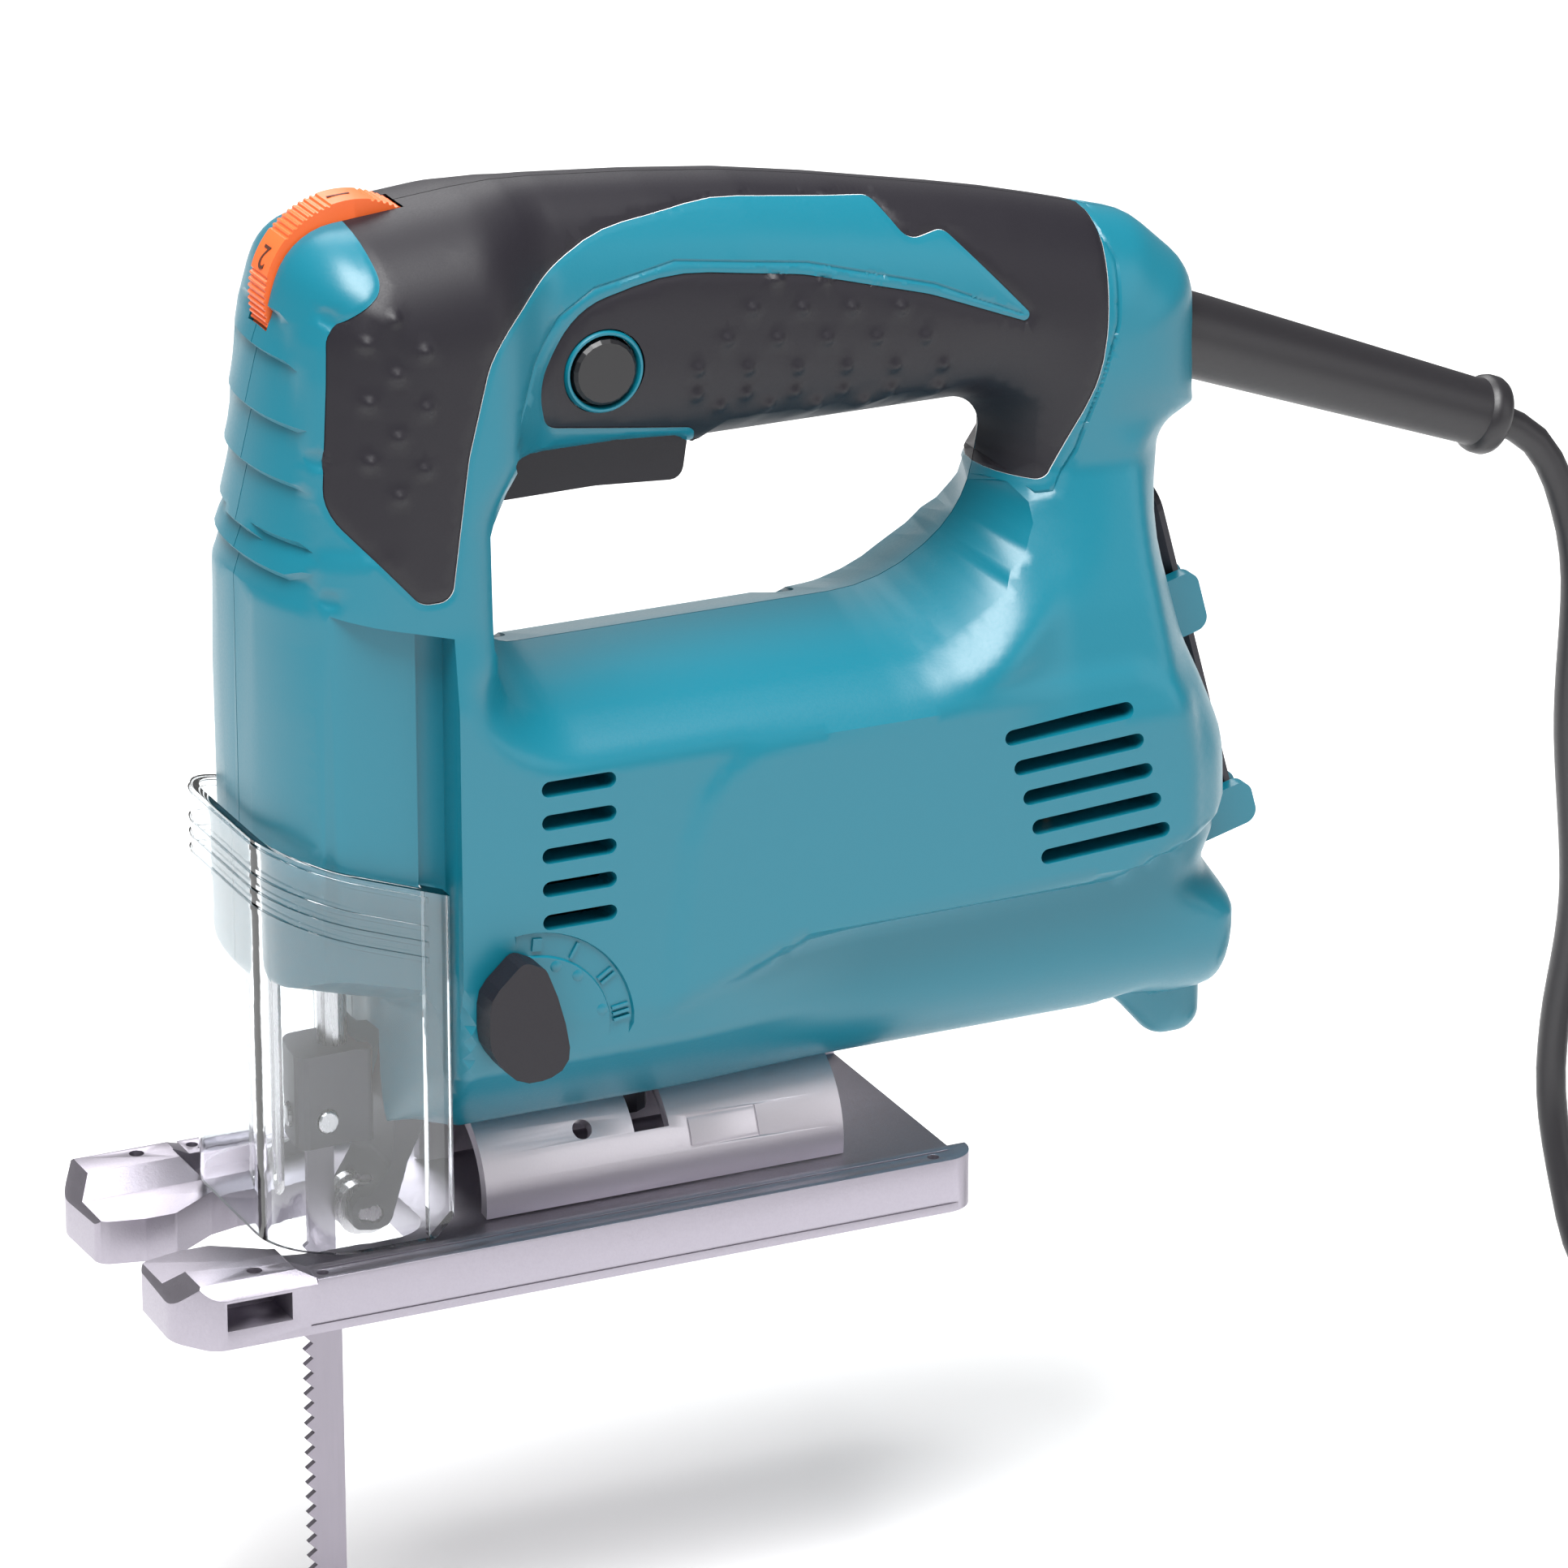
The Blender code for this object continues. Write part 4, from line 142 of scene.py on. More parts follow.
paper, tree, shader = surface("white_matt_paper", "#F4F4F4", 0.9)
grain(tree, shader, 2.0, 0.02)
floor = mesh_object(
    "floor", [(-4, -4, FLOOR_Z), (4, -4, FLOOR_Z), (4, 4, FLOOR_Z), (-4, 4, FLOOR_Z)], [
        [0, 1, 2, 3]
    ], paper
)
for name, place, aim, size, power in (
    ("key_softbox", (-0.35, -0.5, 1.9), (0, 0, 0.1), 1.3, 80),
    ("fill_softbox", (1.4, -1.3, 0.7), (0, 0, 0.08), 1.2, 6),
    ("back_strip", (0.2, 1.3, 1.3), (0, 0, 0.15), 1.0, 16),
):
    lamp = bpy.data.lights.new(name, "AREA")
    lamp.shape = "SQUARE"
    lamp.size = size
    lamp.energy = power
    holder = bpy.data.objects.new(name, lamp)
    holder.location = place
    holder.rotation_euler = (Vector(aim) - Vector(place)).to_track_quat("-Z", "Y").to_euler()
    scene.collection.objects.link(holder)
sky = bpy.data.worlds.new("white_room")
sky.use_nodes = True
sky.node_tree.nodes["Background"].inputs["Color"].default_value = (1, 1, 1, 1)
sky.node_tree.nodes["Background"].inputs["Strength"].default_value = 0.27
scene.world = sky

# ---- housing halves -----------------------------------------------------------------------------
# Two mirrored clamshells of glass-filled nylon, injection moulded in teal and screwed together from
# the right. The mould gives a satin surface with a fine spark-eroded grain and soft corners.
NOSE_X = -54 * MM
COLUMN_BOTTOM = 58 * MM
CHAMBER_REAR_X = -31 * MM
BODY_BOTTOM = 24.5 * MM
BODY_REAR_X = 138 * MM
SPOUT_REAR_X = 140 * MM
FOOT_BOTTOM = 12.5 * MM
SILL_Z = 112 * MM
OPENING_TOP = 146 * MM
OPENING_FRONT_X = -9 * MM
OPENING_REAR_X = 94 * MM
HANDLE_TOP = 199 * MM
HANDLE_REAR_X = 134.5 * MM
BODY_HALF = 31 * MM
COLUMN_HALF = 25.5 * MM
HEAD_HALF = 29 * MM
HANDLE_HALF = 17 * MM
PILLAR_HALF = 16 * MM
TUBE_HALF = 24 * MM
SHELF_Z = 126 * MM
GROOVE_X = (-30 * MM, -24 * MM)
COLUMN_CORNER_R = 19 * MM
GROOVE_HALF = 23.5 * MM
SHELF_SLOPE = 0.28
SKIN = 1.4 * MM
GAP = 0.3 * MM
SEAM = 0.12 * MM  # half the hairline between the two clamshells
MOTOR_Z = 72 * MM


def in_mm(points):
    """Points written in millimetres, in metres."""
    return [tuple(v * MM for v in point) for point in points]


def rounded(corners, step_degrees=10):
    """A closed outline from (a, b, radius) corners, with each corner turned into an arc."""
    outline = []
    count = len(corners)
    for i in range(count):
        here = Vector(corners[i][:2])
        before = Vector(corners[i - 1][:2]) - here
        after = Vector(corners[(i + 1) % count][:2]) - here
        half_angle = before.angle(after) / 2
        reach = min(before.length, after.length) * 0.49
        radius = min(corners[i][2], reach * math.tan(half_angle))
        turn = math.pi - 2 * half_angle
        if radius < 0.05 * MM or turn < math.radians(2):
            outline.append(tuple(here))
            continue
        inward = (before.normalized() + after.normalized()).normalized()
        centre = here + inward * radius / math.sin(half_angle)
        start = here + before.normalized() * radius / math.tan(half_angle) - centre
        steps = max(2, math.ceil(turn / math.radians(step_degrees)))
        side = 1 if before.cross(after) < 0 else -1
        for k in range(steps + 1):
            outline.append(tuple(centre + Matrix.Rotation(side * turn * k / steps, 2) @ start))
    return outline


def divided(outline, longest):
    """The outline with points added, so that no step is longer than this."""
    points = []
    for a, b in zip(outline, outline[1:] + outline[:1]):
        pieces = max(1, math.ceil(math.dist(a, b) / longest))
        points += [tuple(np.add(a, np.subtract(b, a) * k / pieces)) for k in range(pieces)]
    return points


def distance_to(outline, x, z, closed=True):
    """Distance from each point to an outline."""
    near = np.full(np.shape(x), 1e9)
    ends = outline[1:] + outline[:1] if closed else outline[1:]
    for (ax, az), (bx, bz) in zip(outline, ends):
        dx, dz = bx - ax, bz - az
        t = np.clip(((x - ax) * dx + (z - az) * dz) / (dx * dx + dz * dz + 1e-18), 0, 1)
        near = np.minimum(near, np.hypot(x - ax - t * dx, z - az - t * dz))
    return near


def inside(outline, x, z):
    """Which points lie within an outline."""
    odd = np.zeros(np.shape(x), bool)
    for (ax, az), (bx, bz) in zip(outline, outline[1:] + outline[:1]):
        if az != bz:
            odd ^= ((az > z) != (bz > z)) & (x < (bx - ax) * (z - az) / (bz - az) + ax)
    return odd


def ease(t):
    """Smooth step from 0 to 1."""
    t = np.clip(t, 0, 1)
    return t * t * (3 - 2 * t)


def lerp(a, b, t):
    return a + (b - a) * t


def spoke(degrees):
    """The direction of an angle in the side view."""
    return Vector((math.cos(math.radians(degrees)), 0, math.sin(math.radians(degrees))))


def crown(t, power=2.2):
    """A rounded edge: 0 at the rim, 1 from t = 1 on, upright at the rim."""
    return (1 - (1 - np.clip(t, 0, 1)) ** power) ** (1 / power)


OUTER = rounded(
    [
        (NOSE_X, COLUMN_BOTTOM, 3 * MM),
        (NOSE_X - 0.6 * MM, SHELF_Z + 6 * MM, 40 * MM),
        (NOSE_X + 4.5 * MM, SHELF_Z + 54 * MM, 60 * MM),
        (NOSE_X + 10 * MM, HANDLE_TOP - 3 * MM, 13 * MM),
        (NOSE_X + 50 * MM, HANDLE_TOP + 0.6 * MM, 90 * MM),
        (OPENING_FRONT_X + 50 * MM, HANDLE_TOP - 3.2 * MM, 300 * MM),
        (OPENING_REAR_X, HANDLE_TOP - 14 * MM, 300 * MM),
        (HANDLE_REAR_X - 12 * MM, HANDLE_TOP - 22 * MM, 14 * MM),
        (HANDLE_REAR_X, HANDLE_TOP - 33 * MM, 12 * MM),
        (HANDLE_REAR_X + 0.5 * MM, HANDLE_TOP - 59 * MM, 3 * MM),
        (HANDLE_REAR_X - 6.5 * MM, HANDLE_TOP - 63 * MM, 5 * MM),
        (HANDLE_REAR_X - 9 * MM, SILL_Z + 8 * MM, 40 * MM),
        (BODY_REAR_X - 8 * MM, SILL_Z - 13 * MM, 30 * MM),
        (BODY_REAR_X, SILL_Z - 32 * MM, 24 * MM),
        (BODY_REAR_X + 0.5 * MM, FOOT_BOTTOM + 46 * MM, 6 * MM),
        (SPOUT_REAR_X - 4 * MM, FOOT_BOTTOM + 40 * MM, 2 * MM),
        (SPOUT_REAR_X, FOOT_BOTTOM + 33 * MM, 6 * MM),
        (SPOUT_REAR_X, FOOT_BOTTOM, 5 * MM),
        (SPOUT_REAR_X - 10 * MM, FOOT_BOTTOM, 6 * MM),
        (SPOUT_REAR_X - 19 * MM, BODY_BOTTOM - 1.5 * MM, 12 * MM),
        (SPOUT_REAR_X - 32 * MM, BODY_BOTTOM, 20 * MM),
        (CHAMBER_REAR_X, BODY_BOTTOM, 2 * MM),
        (CHAMBER_REAR_X, COLUMN_BOTTOM - 6.5 * MM, 1 * MM),
    ]
)
OPENING = rounded(
    [
        (OPENING_FRONT_X, SILL_Z, 9 * MM),
        (OPENING_REAR_X - 21 * MM, SILL_Z, 40 * MM),
        (OPENING_REAR_X - 4 * MM, SILL_Z + 12 * MM, 22 * MM),
        (OPENING_REAR_X, OPENING_TOP, 6 * MM),
        (OPENING_FRONT_X, OPENING_TOP, 4 * MM),
    ]
)
GRIP_TOP = HANDLE_TOP + 20 * MM
GRIP_EDGE = rounded(
    [
        (-36 * MM, GRIP_TOP, 0),
        (-33 * MM, HANDLE_TOP - 10 * MM, 4 * MM),
        (-43 * MM, HANDLE_TOP - 17 * MM, 6 * MM),
        (-45.5 * MM, OPENING_TOP + 4 * MM, 10 * MM),
        (-30 * MM, OPENING_TOP - 13.5 * MM, 4 * MM),
        (-24 * MM, OPENING_TOP - 13.5 * MM, 3 * MM),
        (-20 * MM, OPENING_TOP + 12 * MM, 20 * MM),
        (-14.5 * MM, OPENING_TOP + 32 * MM, 14 * MM),
        (10 * MM, HANDLE_TOP - 7.5 * MM, 30 * MM),
        (35 * MM, HANDLE_TOP - 5.5 * MM, 50 * MM),
        (67 * MM, HANDLE_TOP - 10 * MM, 3 * MM),
        (72 * MM, HANDLE_TOP - 17.5 * MM, 4 * MM),
        (79.5 * MM, HANDLE_TOP - 16.5 * MM, 3 * MM),
        (97.5 * MM, HANDLE_TOP - 36 * MM, 1 * MM),
        (75 * MM, HANDLE_TOP - 27 * MM, 30 * MM),
        (50 * MM, HANDLE_TOP - 20 * MM, 30 * MM),
        (24 * MM, HANDLE_TOP - 16 * MM, 40 * MM),
        (6 * MM, HANDLE_TOP - 20 * MM, 14 * MM),
        (-3.5 * MM, HANDLE_TOP - 33 * MM, 8 * MM),
        (-0.5 * MM, HANDLE_TOP - 42 * MM, 5 * MM),
        (30 * MM, HANDLE_TOP - 47 * MM, 3 * MM),
        (36 * MM, OPENING_TOP - 8 * MM, 0),
        (80 * MM, OPENING_TOP - 8 * MM, 0),
        (84 * MM, SILL_Z + 22 * MM, 0),
        (100 * MM, SILL_Z + 20 * MM, 3 * MM),
        (110 * MM, OPENING_TOP + 6 * MM, 40 * MM),
        (112.5 * MM, HANDLE_TOP - 22 * MM, 20 * MM),
        (109 * MM, GRIP_TOP, 0),
    ]
)


def side_width(x, z):
    """The housing's half width away from its edges."""
    body = np.full(np.shape(x), BODY_HALF)
    rise = [0, 2.5 * MM, 11.5 * MM, 17.5 * MM, 25.5 * MM]
    narrowing = [18 * MM, 15.5 * MM, 6.5 * MM, 1.5 * MM, 0]
    taper = BODY_HALF - np.interp(z - BODY_BOTTOM, rise, narrowing)
    tube_z = BODY_BOTTOM + 18 * MM
    tube = TUBE_HALF * np.sqrt(np.clip(1 - ((z - tube_z) / (19 * MM)) ** 2, 0.05, 1))
    tube = np.where(z > tube_z, TUBE_HALF, tube)
    lower = lerp(taper, tube, ease((x - 20 * MM) / (40 * MM)))
    crease_x = [14 * MM, 44 * MM, 108 * MM, 135 * MM]
    crease = np.interp(x, crease_x, [48 * MM, 57 * MM, 58 * MM, 66 * MM])
    body = lerp(lower, body, ease((z - crease) / (5 * MM) + 0.5))
    body = np.where(x < 14 * MM, taper, body)
    middle = np.where(z < (SILL_Z + OPENING_TOP) / 2, body, HANDLE_HALF)
    head = np.interp(z, [SILL_Z, SHELF_Z, HANDLE_TOP], [BODY_HALF, HEAD_HALF, HEAD_HALF - 3 * MM])
    front = np.where(z < SILL_Z, body, head)
    rear_z = [SILL_Z - 22 * MM, SILL_Z - 2 * MM, SILL_Z + 22 * MM, SILL_Z + 40 * MM]
    rear = np.interp(z, rear_z, [BODY_HALF, BODY_HALF - 6 * MM, PILLAR_HALF, HANDLE_HALF])
    rear = np.where(z < SILL_Z - 22 * MM, body, rear)
    width = lerp(front, middle, ease((x - OPENING_FRONT_X + 6 * MM) / (18 * MM)))
    return lerp(width, rear, ease((x - OPENING_REAR_X + 14 * MM) / (20 * MM)))


def edge_reach(x, z):
    """How far the rounding of the outer edge runs in from the outline."""
    nose = 20 * MM * (1 - ease((x - NOSE_X - 24 * MM) / (14 * MM)))
    handle = 23 * MM * ease((z - SILL_Z - 18 * MM) / (14 * MM))
    rear = 20 * MM * ease((x - SPOUT_REAR_X + 34 * MM) / (20 * MM))
    low = ease((BODY_BOTTOM + 30 * MM - z) / (10 * MM))
    tail = 12 * MM * ease((x - SPOUT_REAR_X + 30 * MM) / (20 * MM)) * low
    least = lerp(1.5 * MM, 6 * MM, ease((z - BODY_BOTTOM) / (20 * MM)))
    return np.maximum(np.maximum(nose, handle), np.maximum(rear - tail, least))


def half_width(x, z, inset=0.0):
    """How far the housing's side stands out from the blade's plane, less its skin."""
    width = side_width(x, z)
    outer = np.maximum(distance_to(OUTER, x, z) - inset, 0)
    rim = (width - inset) * crown(outer / (edge_reach(x, z) - inset))
    hole = np.maximum(distance_to(OPENING, x, z) - inset, 0)
    hole_reach = np.where(x < OPENING_FRONT_X, 12 * MM, 22 * MM)
    round_side = (width - inset) * crown(hole / (hole_reach - inset))
    sill_edge = 12.5 * MM * crown(hole / (3 * MM))
    sill = sill_edge + (width - inset - 12.5 * MM) * ease(hole / (15 * MM)) ** 0.8
    on_sill = ease((SILL_Z + 8 * MM - z) / (12 * MM))
    return np.minimum(rim, lerp(round_side, sill, on_sill))


def side_at(x, z):
    """The half width at one place of the side view."""
    return float(half_width(np.array([x]), np.array([z]))[0])


MOTOR_BULGE = in_mm([
    (112, 99), (60, 98.5), (42, 97.8), (34, 96.8), (28, 93.8),
    (23, 88.4), (20, 80), (18.4, 68), (17.3, 59), (17, 49),
    (44, 57), (77, 57.5), (108, 59), (124, 66), (124, 92),
])
LEVER_X, LEVER_Z = -11.5 * MM, 47.5 * MM
ARC_INNER_R, ARC_OUTER_R = 16.2 * MM, 20.7 * MM
ARC_DEPTH = 0.6 * MM
BAND_DEPTH = 1.5 * MM
BAND_FOOT = 131 * MM
DOME_R, DIMPLE_R = 2.1 * MM, 1.4 * MM
PAST_SIDE = 45 * MM
BAND_LEDGES = [182.5 * MM, 174.4 * MM, 164 * MM, 153.6 * MM, 143 * MM, 137.7 * MM]
CAP_LINE = in_mm([
    (105.5, 191), (109.6, 184.7), (114.2, 172), (113, 161.4),
    (109.8, 151), (105.3, 137.7), (101, 130.2), (98, 129.8),
])
CRESCENT_LINE = in_mm([
    (-8.5, 163), (-4.5, 171), (2, 178), (9, 182), (25, 184.6),
    (51, 180.8), (76, 173.6), (93, 166),
])


def relief(x, z):
    """Small steps and grooves of the teal side, as height above its general shape."""
    edge = distance_to(MOTOR_BULGE, x, z)
    signed = np.where(inside(MOTOR_BULGE, x, z), edge, -edge)
    height = 0.9 * MM * ease(signed / (3 * MM) + 0.5)
    from_lever = np.hypot(x - LEVER_X, z - LEVER_Z)
    turn = np.degrees(np.arctan2(z - LEVER_Z, x - LEVER_X))
    band = (from_lever > ARC_INNER_R) & (from_lever < ARC_OUTER_R) & (turn > -1) & (turn < 97)
    height = np.where(band, height - ARC_DEPTH, height)
    for line, depth, half in ((CAP_LINE, 0.5, 0.55), (CRESCENT_LINE, 0.35, 0.5)):
        near = distance_to(line, x, z, False)
        height = height - depth * MM * np.clip(1 - near / (half * MM), 0, 1)
    for dimple_x, dimple_z in DIMPLES:
        away = np.hypot(x - dimple_x * MM, z - dimple_z * MM)
        height = height - 0.8 * MM * ease(1.6 - away / DIMPLE_R)
    to_grip = distance_to(GRIP_EDGE, x, z)
    return height - 0.35 * MM * np.clip(1 - to_grip / (0.8 * MM), 0, 1) ** 2


FRONT_DOMES = [
    (-32.5, 184.5), (-37.8, 180.3), (-27.6, 178.4), (-33, 174.6), (-38, 169.8), (-27.8, 168.2),
    (-33.2, 163.4), (-38.2, 159.2), (-28.6, 157.2), (-33.4, 152.8),
]
SIDE_DOMES = []
for first_x, z, count in (
    (44.5, 179.2, 3),
    (39.5, 174.2, 4),
    (34.5, 169.2, 5),
    (28.8, 164.4, 6),
    (28.8, 159.4, 6),
    (33.8, 156.2, 4),
):
    SIDE_DOMES += [(first_x + 9.8 * k, z - 1.25 * k) for k in range(count)]
DIMPLES = [(-42.3, 184), (-45.6, 159), (-45.6, 134.5)]


def skin_plan(spacing, rows):
    """Side view points and triangles that every skin shares, closer along the rims and lines."""
    outline, hole = divided(OUTER, 1.3 * MM), divided(OPENING, 1.3 * MM)
    corners, edges = [], []
    for loop in (outline, hole):
        first = len(corners)
        corners += loop
        edges += [(first + i, first + (i + 1) % len(loop)) for i in range(len(loop))]
    lines = [(loop, [s * r for r in rows]) for loop, s in ((outline, -1), (hole, 1))]
    lines.append(
        (divided(GRIP_EDGE, 1.2 * MM), [-1.3 * MM, -0.6 * MM, -0.15 * MM, 0.15 * MM, 0.7 * MM])
    )
    arc = [
        [
            (LEVER_X + r * math.cos(math.radians(a)), LEVER_Z + r * math.sin(math.radians(a)))
            for a in range(-2, 100, 3)
        ]
        for r in (ARC_INNER_R, ARC_OUTER_R)
    ]
    open_lines = [(CAP_LINE, [-0.5, 0, 0.5]), (CRESCENT_LINE, [-0.45, 0, 0.45])]
    open_lines += [(a, [-0.15, 0.15]) for a in arc]
    near = []
    for loop, offsets in lines:
        for i in range(len(loop)):
            tangent = (Vector(loop[(i + 1) % len(loop)]) - Vector(loop[i - 1])).normalized()
            across = Vector((-tangent.y, tangent.x))
            near += [(Vector(loop[i]) + across * r, abs(r), loop) for r in offsets]
    for line, offsets in open_lines:
        fine = divided(line, 1 * MM)[: -1]
        fine = [p for p in fine if distance_to(line, *p, False) < 0.01 * MM]
        for i in range(1, len(fine)):
            tangent = (Vector(fine[i]) - Vector(fine[i - 1])).normalized()
            across = Vector((-tangent.y, tangent.x))
            near += [(Vector(fine[i]) + across * r * MM, 0, None) for r in offsets]
    for x, z in FRONT_DOMES + SIDE_DOMES + DIMPLES:
        near.append((Vector((x * MM, z * MM)), 0, None))
        for r, count in ((0.75, 8), (1.4, 10), (2.1, 12)):
            for k in range(count):
                turn = 2 * math.pi * k / count
                place = Vector((x + r * math.cos(turn), z + r * math.sin(turn))) * MM
                near.append((place, 0, None))
    points = np.array([tuple(p[0]) for p in near])
    wanted = np.array([p[1] for p in near])
    keep = inside(OUTER, *points.T) & ~inside(OPENING, *points.T)
    from_rim = np.minimum(distance_to(outline, *points.T), distance_to(hole, *points.T))
    on_rows = np.array([p[2] is outline or p[2] is hole for p in near])
    keep &= np.where(on_rows, from_rim > wanted * 0.95, from_rim > 0.3 * MM)
    points = points[keep]
    low, high = np.min(OUTER, axis=0), np.max(OUTER, axis=0)
    xs = np.arange(low[0], high[0], spacing)
    zs = np.arange(low[1], high[1], spacing * 0.866)
    grid_x, grid_z = np.meshgrid(xs, zs)
    grid_x[1::2] += spacing / 2
    grid = np.stack([grid_x.ravel(), grid_z.ravel()], axis=1)
    grid = grid[inside(OUTER, *grid.T) & ~inside(OPENING, *grid.T)]
    from_rim = np.minimum(distance_to(outline, *grid.T), distance_to(hole, *grid.T))
    grid = grid[from_rim > rows[-1] + spacing * 0.5]
    grid = grid[distance_to(GRIP_EDGE, *grid.T) > 1.6 * MM]
    for line, _ in open_lines:
        grid = grid[distance_to(line, *grid.T, False) > 0.9 * MM]
    for x, z in FRONT_DOMES + SIDE_DOMES + DIMPLES:
        grid = grid[np.hypot(grid[:, 0] - x * MM, grid[:, 1] - z * MM) > 2.6 * MM]
    corners += [tuple(p) for p in points] + [tuple(p) for p in grid]
    found = delaunay_2d_cdt([Vector(p) for p in corners], edges, [], 0, 1e-7)
    plan = np.array([tuple(p) for p in found[0]])
    triangles = np.array(found[2])
    middle = plan[triangles].mean(axis=1)
    on_rim = np.minimum(distance_to(outline, *plan.T), distance_to(hole, *plan.T)) < 1e-6
    keep = inside(outline, *middle.T) & ~inside(hole, *middle.T) & ~on_rim[triangles].all(axis=1)
    return plan, triangles[keep], on_rim


PLAN, TRIANGLES, ON_RIM = skin_plan(
    2.0 * MM, [0.06 * MM, 0.3 * MM, 0.8 * MM, 1.7 * MM, 3 * MM, 4.6 * MM]
)
PLAN_X, PLAN_Z = PLAN.T
OUTSIDE = half_width(PLAN_X, PLAN_Z)


def skin(name, side, width, flat, made, smooth_degrees=32):
    """One half as a closed solid: its outside stands out by width, its back is flat."""
    rise = np.maximum(width, flat + 0.03 * MM)
    rise[ON_RIM] = flat
    points = np.stack([PLAN_X, side * rise, PLAN_Z], axis=1)
    nose = ease((-46.6 * MM - PLAN_X) / (2.2 * MM)) * ease((PLAN_Z - BAND_FOOT) / (2 * MM))
    step = np.zeros(len(PLAN))
    for top, bottom in zip(BAND_LEDGES, BAND_LEDGES[1:] + [BAND_FOOT]):
        inner = (PLAN_Z <= top) & (PLAN_Z > bottom)
        step = np.where(inner, (PLAN_Z - bottom) / (top - bottom), step)
    count = len(PLAN)
    back = np.stack([PLAN_X, np.full(count, side * flat), PLAN_Z], axis=1)
    if flat:
        points[:, 0] += nose * step * BAND_DEPTH
        back[:, 0] += nose * step * BAND_DEPTH
    faces = TRIANGLES.tolist()
    all_points = np.concatenate([points, back])
    return mesh_object(
        name, all_points, faces + [
            [v + count for v in f[::-1]] for f in faces
        ], made, smooth_degrees
    )


def bridged(first, second, made=None, name="cutter"):
    """A solid between two closed rows of as many points."""
    count = len(first)
    faces = [list(range(count)), list(range(count, 2 * count))]
    faces += [[i, (i + 1) % count, count + (i + 1) % count, count + i] for i in range(count)]
    return mesh_object(name, first + second, faces, made)


def prism(outline, low, high, axis, made=None, name="cutter"):
    """A flat outline pushed out along an axis."""
    order = {"x": (2, 0, 1), "y": (0, 2, 1), "z": (0, 1, 2)}[axis]
    rows = [[tuple((a, b, t)[i] for i in order) for a, b in outline] for t in (low, high)]
    return bridged(*rows, made, name)


def block(x, y, z, made=None, name="cutter"):
    return prism(
        [(x[0], y[0]), (x[1], y[0]), (x[1], y[1]), (x[0], y[1])], z[0], z[1], "z", made, name
    )


def turned(profile, origin, axis, made=None, name="cutter", sides=48):
    """A lathe-turned solid: (radius, along) points, closed through the axis or as a ring."""
    along = Vector(axis).normalized()
    across = along.orthogonal().normalized()
    other = along.cross(across)
    points, rows, faces = [], [], []
    for radius, distance in profile:
        centre = Vector(origin) + along * distance
        if radius < 1e-9:
            rows.append([len(points)] * sides)
            points.append(tuple(centre))
            continue
        rows.append(list(range(len(points), len(points) + sides)))
        for k in range(sides):
            angle = 2 * math.pi * k / sides
            points.append(
                tuple(centre + across * radius * math.cos(angle) + other * radius * math.sin(angle))
            )
    for i in range(len(rows)):
        first, second = rows[i], rows[(i + 1) % len(rows)]
        for k in range(sides):
            n = (k + 1) % sides
            face = [first[k], first[n], second[n], second[k]]
            face = [v for j, v in enumerate(face) if v != face[j - 1]]
            if len(face) > 2:
                faces.append(face)
    return mesh_object(name, points, faces, made)


def disc(radius, origin, axis, length, made=None, name="cutter", sides=48):
    return turned(
        [(0, 0), (radius, 0), (radius, length), (0, length)], origin, axis, made, name, sides
    )


def slot_outline(a, b, half, steps=8):
    """A stadium from point a to point b with round ends of radius half."""
    heading = math.atan2(b[1] - a[1], b[0] - a[0])
    outline = []
    for centre, first in ((b, heading - math.pi / 2), (a, heading + math.pi / 2)):
        for k in range(steps + 1):
            angle = first + math.pi * k / steps
            outline.append((centre[0] + half * math.cos(angle), centre[1] + half * math.sin(angle)))
    return outline


def combine(obj, others, operation="DIFFERENCE", solver="MANIFOLD"):
    """Joins or cuts solids for good, and clears the cutters away."""
    for other in others:
        modifier = obj.modifiers.new(other.name, "BOOLEAN")
        modifier.operation = operation
        modifier.solver = solver
        modifier.object = other
    graph = bpy.context.evaluated_depsgraph_get()
    result = bpy.data.meshes.new_from_object(obj.evaluated_get(graph))
    obj.modifiers.clear()
    obj.data = result
    for other in others:
        bpy.data.objects.remove(other, do_unlink=True)
    return obj


X_AXIS, Y_AXIS, Z_AXIS = (1, 0, 0), (0, 1, 0), (0, 0, 1)
GEAR_Z = 93 * MM
DIAL_X, DIAL_Z, DIAL_R, DIAL_HALF = -31.6 * MM, 183.2 * MM, 17 * MM, 3.7 * MM
BUTTON_X, BUTTON_Z, BUTTON_R = 10.5 * MM, 166.6 * MM, 6.1 * MM
GUARD_ORIGIN = Vector((136.5 * MM, 0, 151 * MM))
GUARD_TIP = Vector((202 * MM, 0, 125.5 * MM))
GUARD_AXIS = (GUARD_TIP - GUARD_ORIGIN).normalized()
WRENCH_FOOT = Vector((145.2 * MM, 0, 59.5 * MM))
WRENCH_TOP = Vector((128.6 * MM, 0, 121.5 * MM))
WRENCH_AXIS = (WRENCH_TOP - WRENCH_FOOT).normalized()
WRENCH_NORMAL = Vector((WRENCH_AXIS.z, 0, -WRENCH_AXIS.x))
SCREW_PLACES = [
    (NOSE_X + 8 * MM, OPENING_TOP - 6 * MM),
    (OPENING_REAR_X + 13 * MM, OPENING_TOP + 25 * MM),
    (OPENING_REAR_X + 17 * MM, SILL_Z + 8 * MM),
    (OPENING_FRONT_X + 11 * MM, SILL_Z - 7 * MM),
    (OPENING_REAR_X - 34 * MM, SILL_Z - 7 * MM),
    (BODY_REAR_X - 12 * MM, MOTOR_Z + 4 * MM),
    (44 * MM, BODY_BOTTOM + 12 * MM),
]


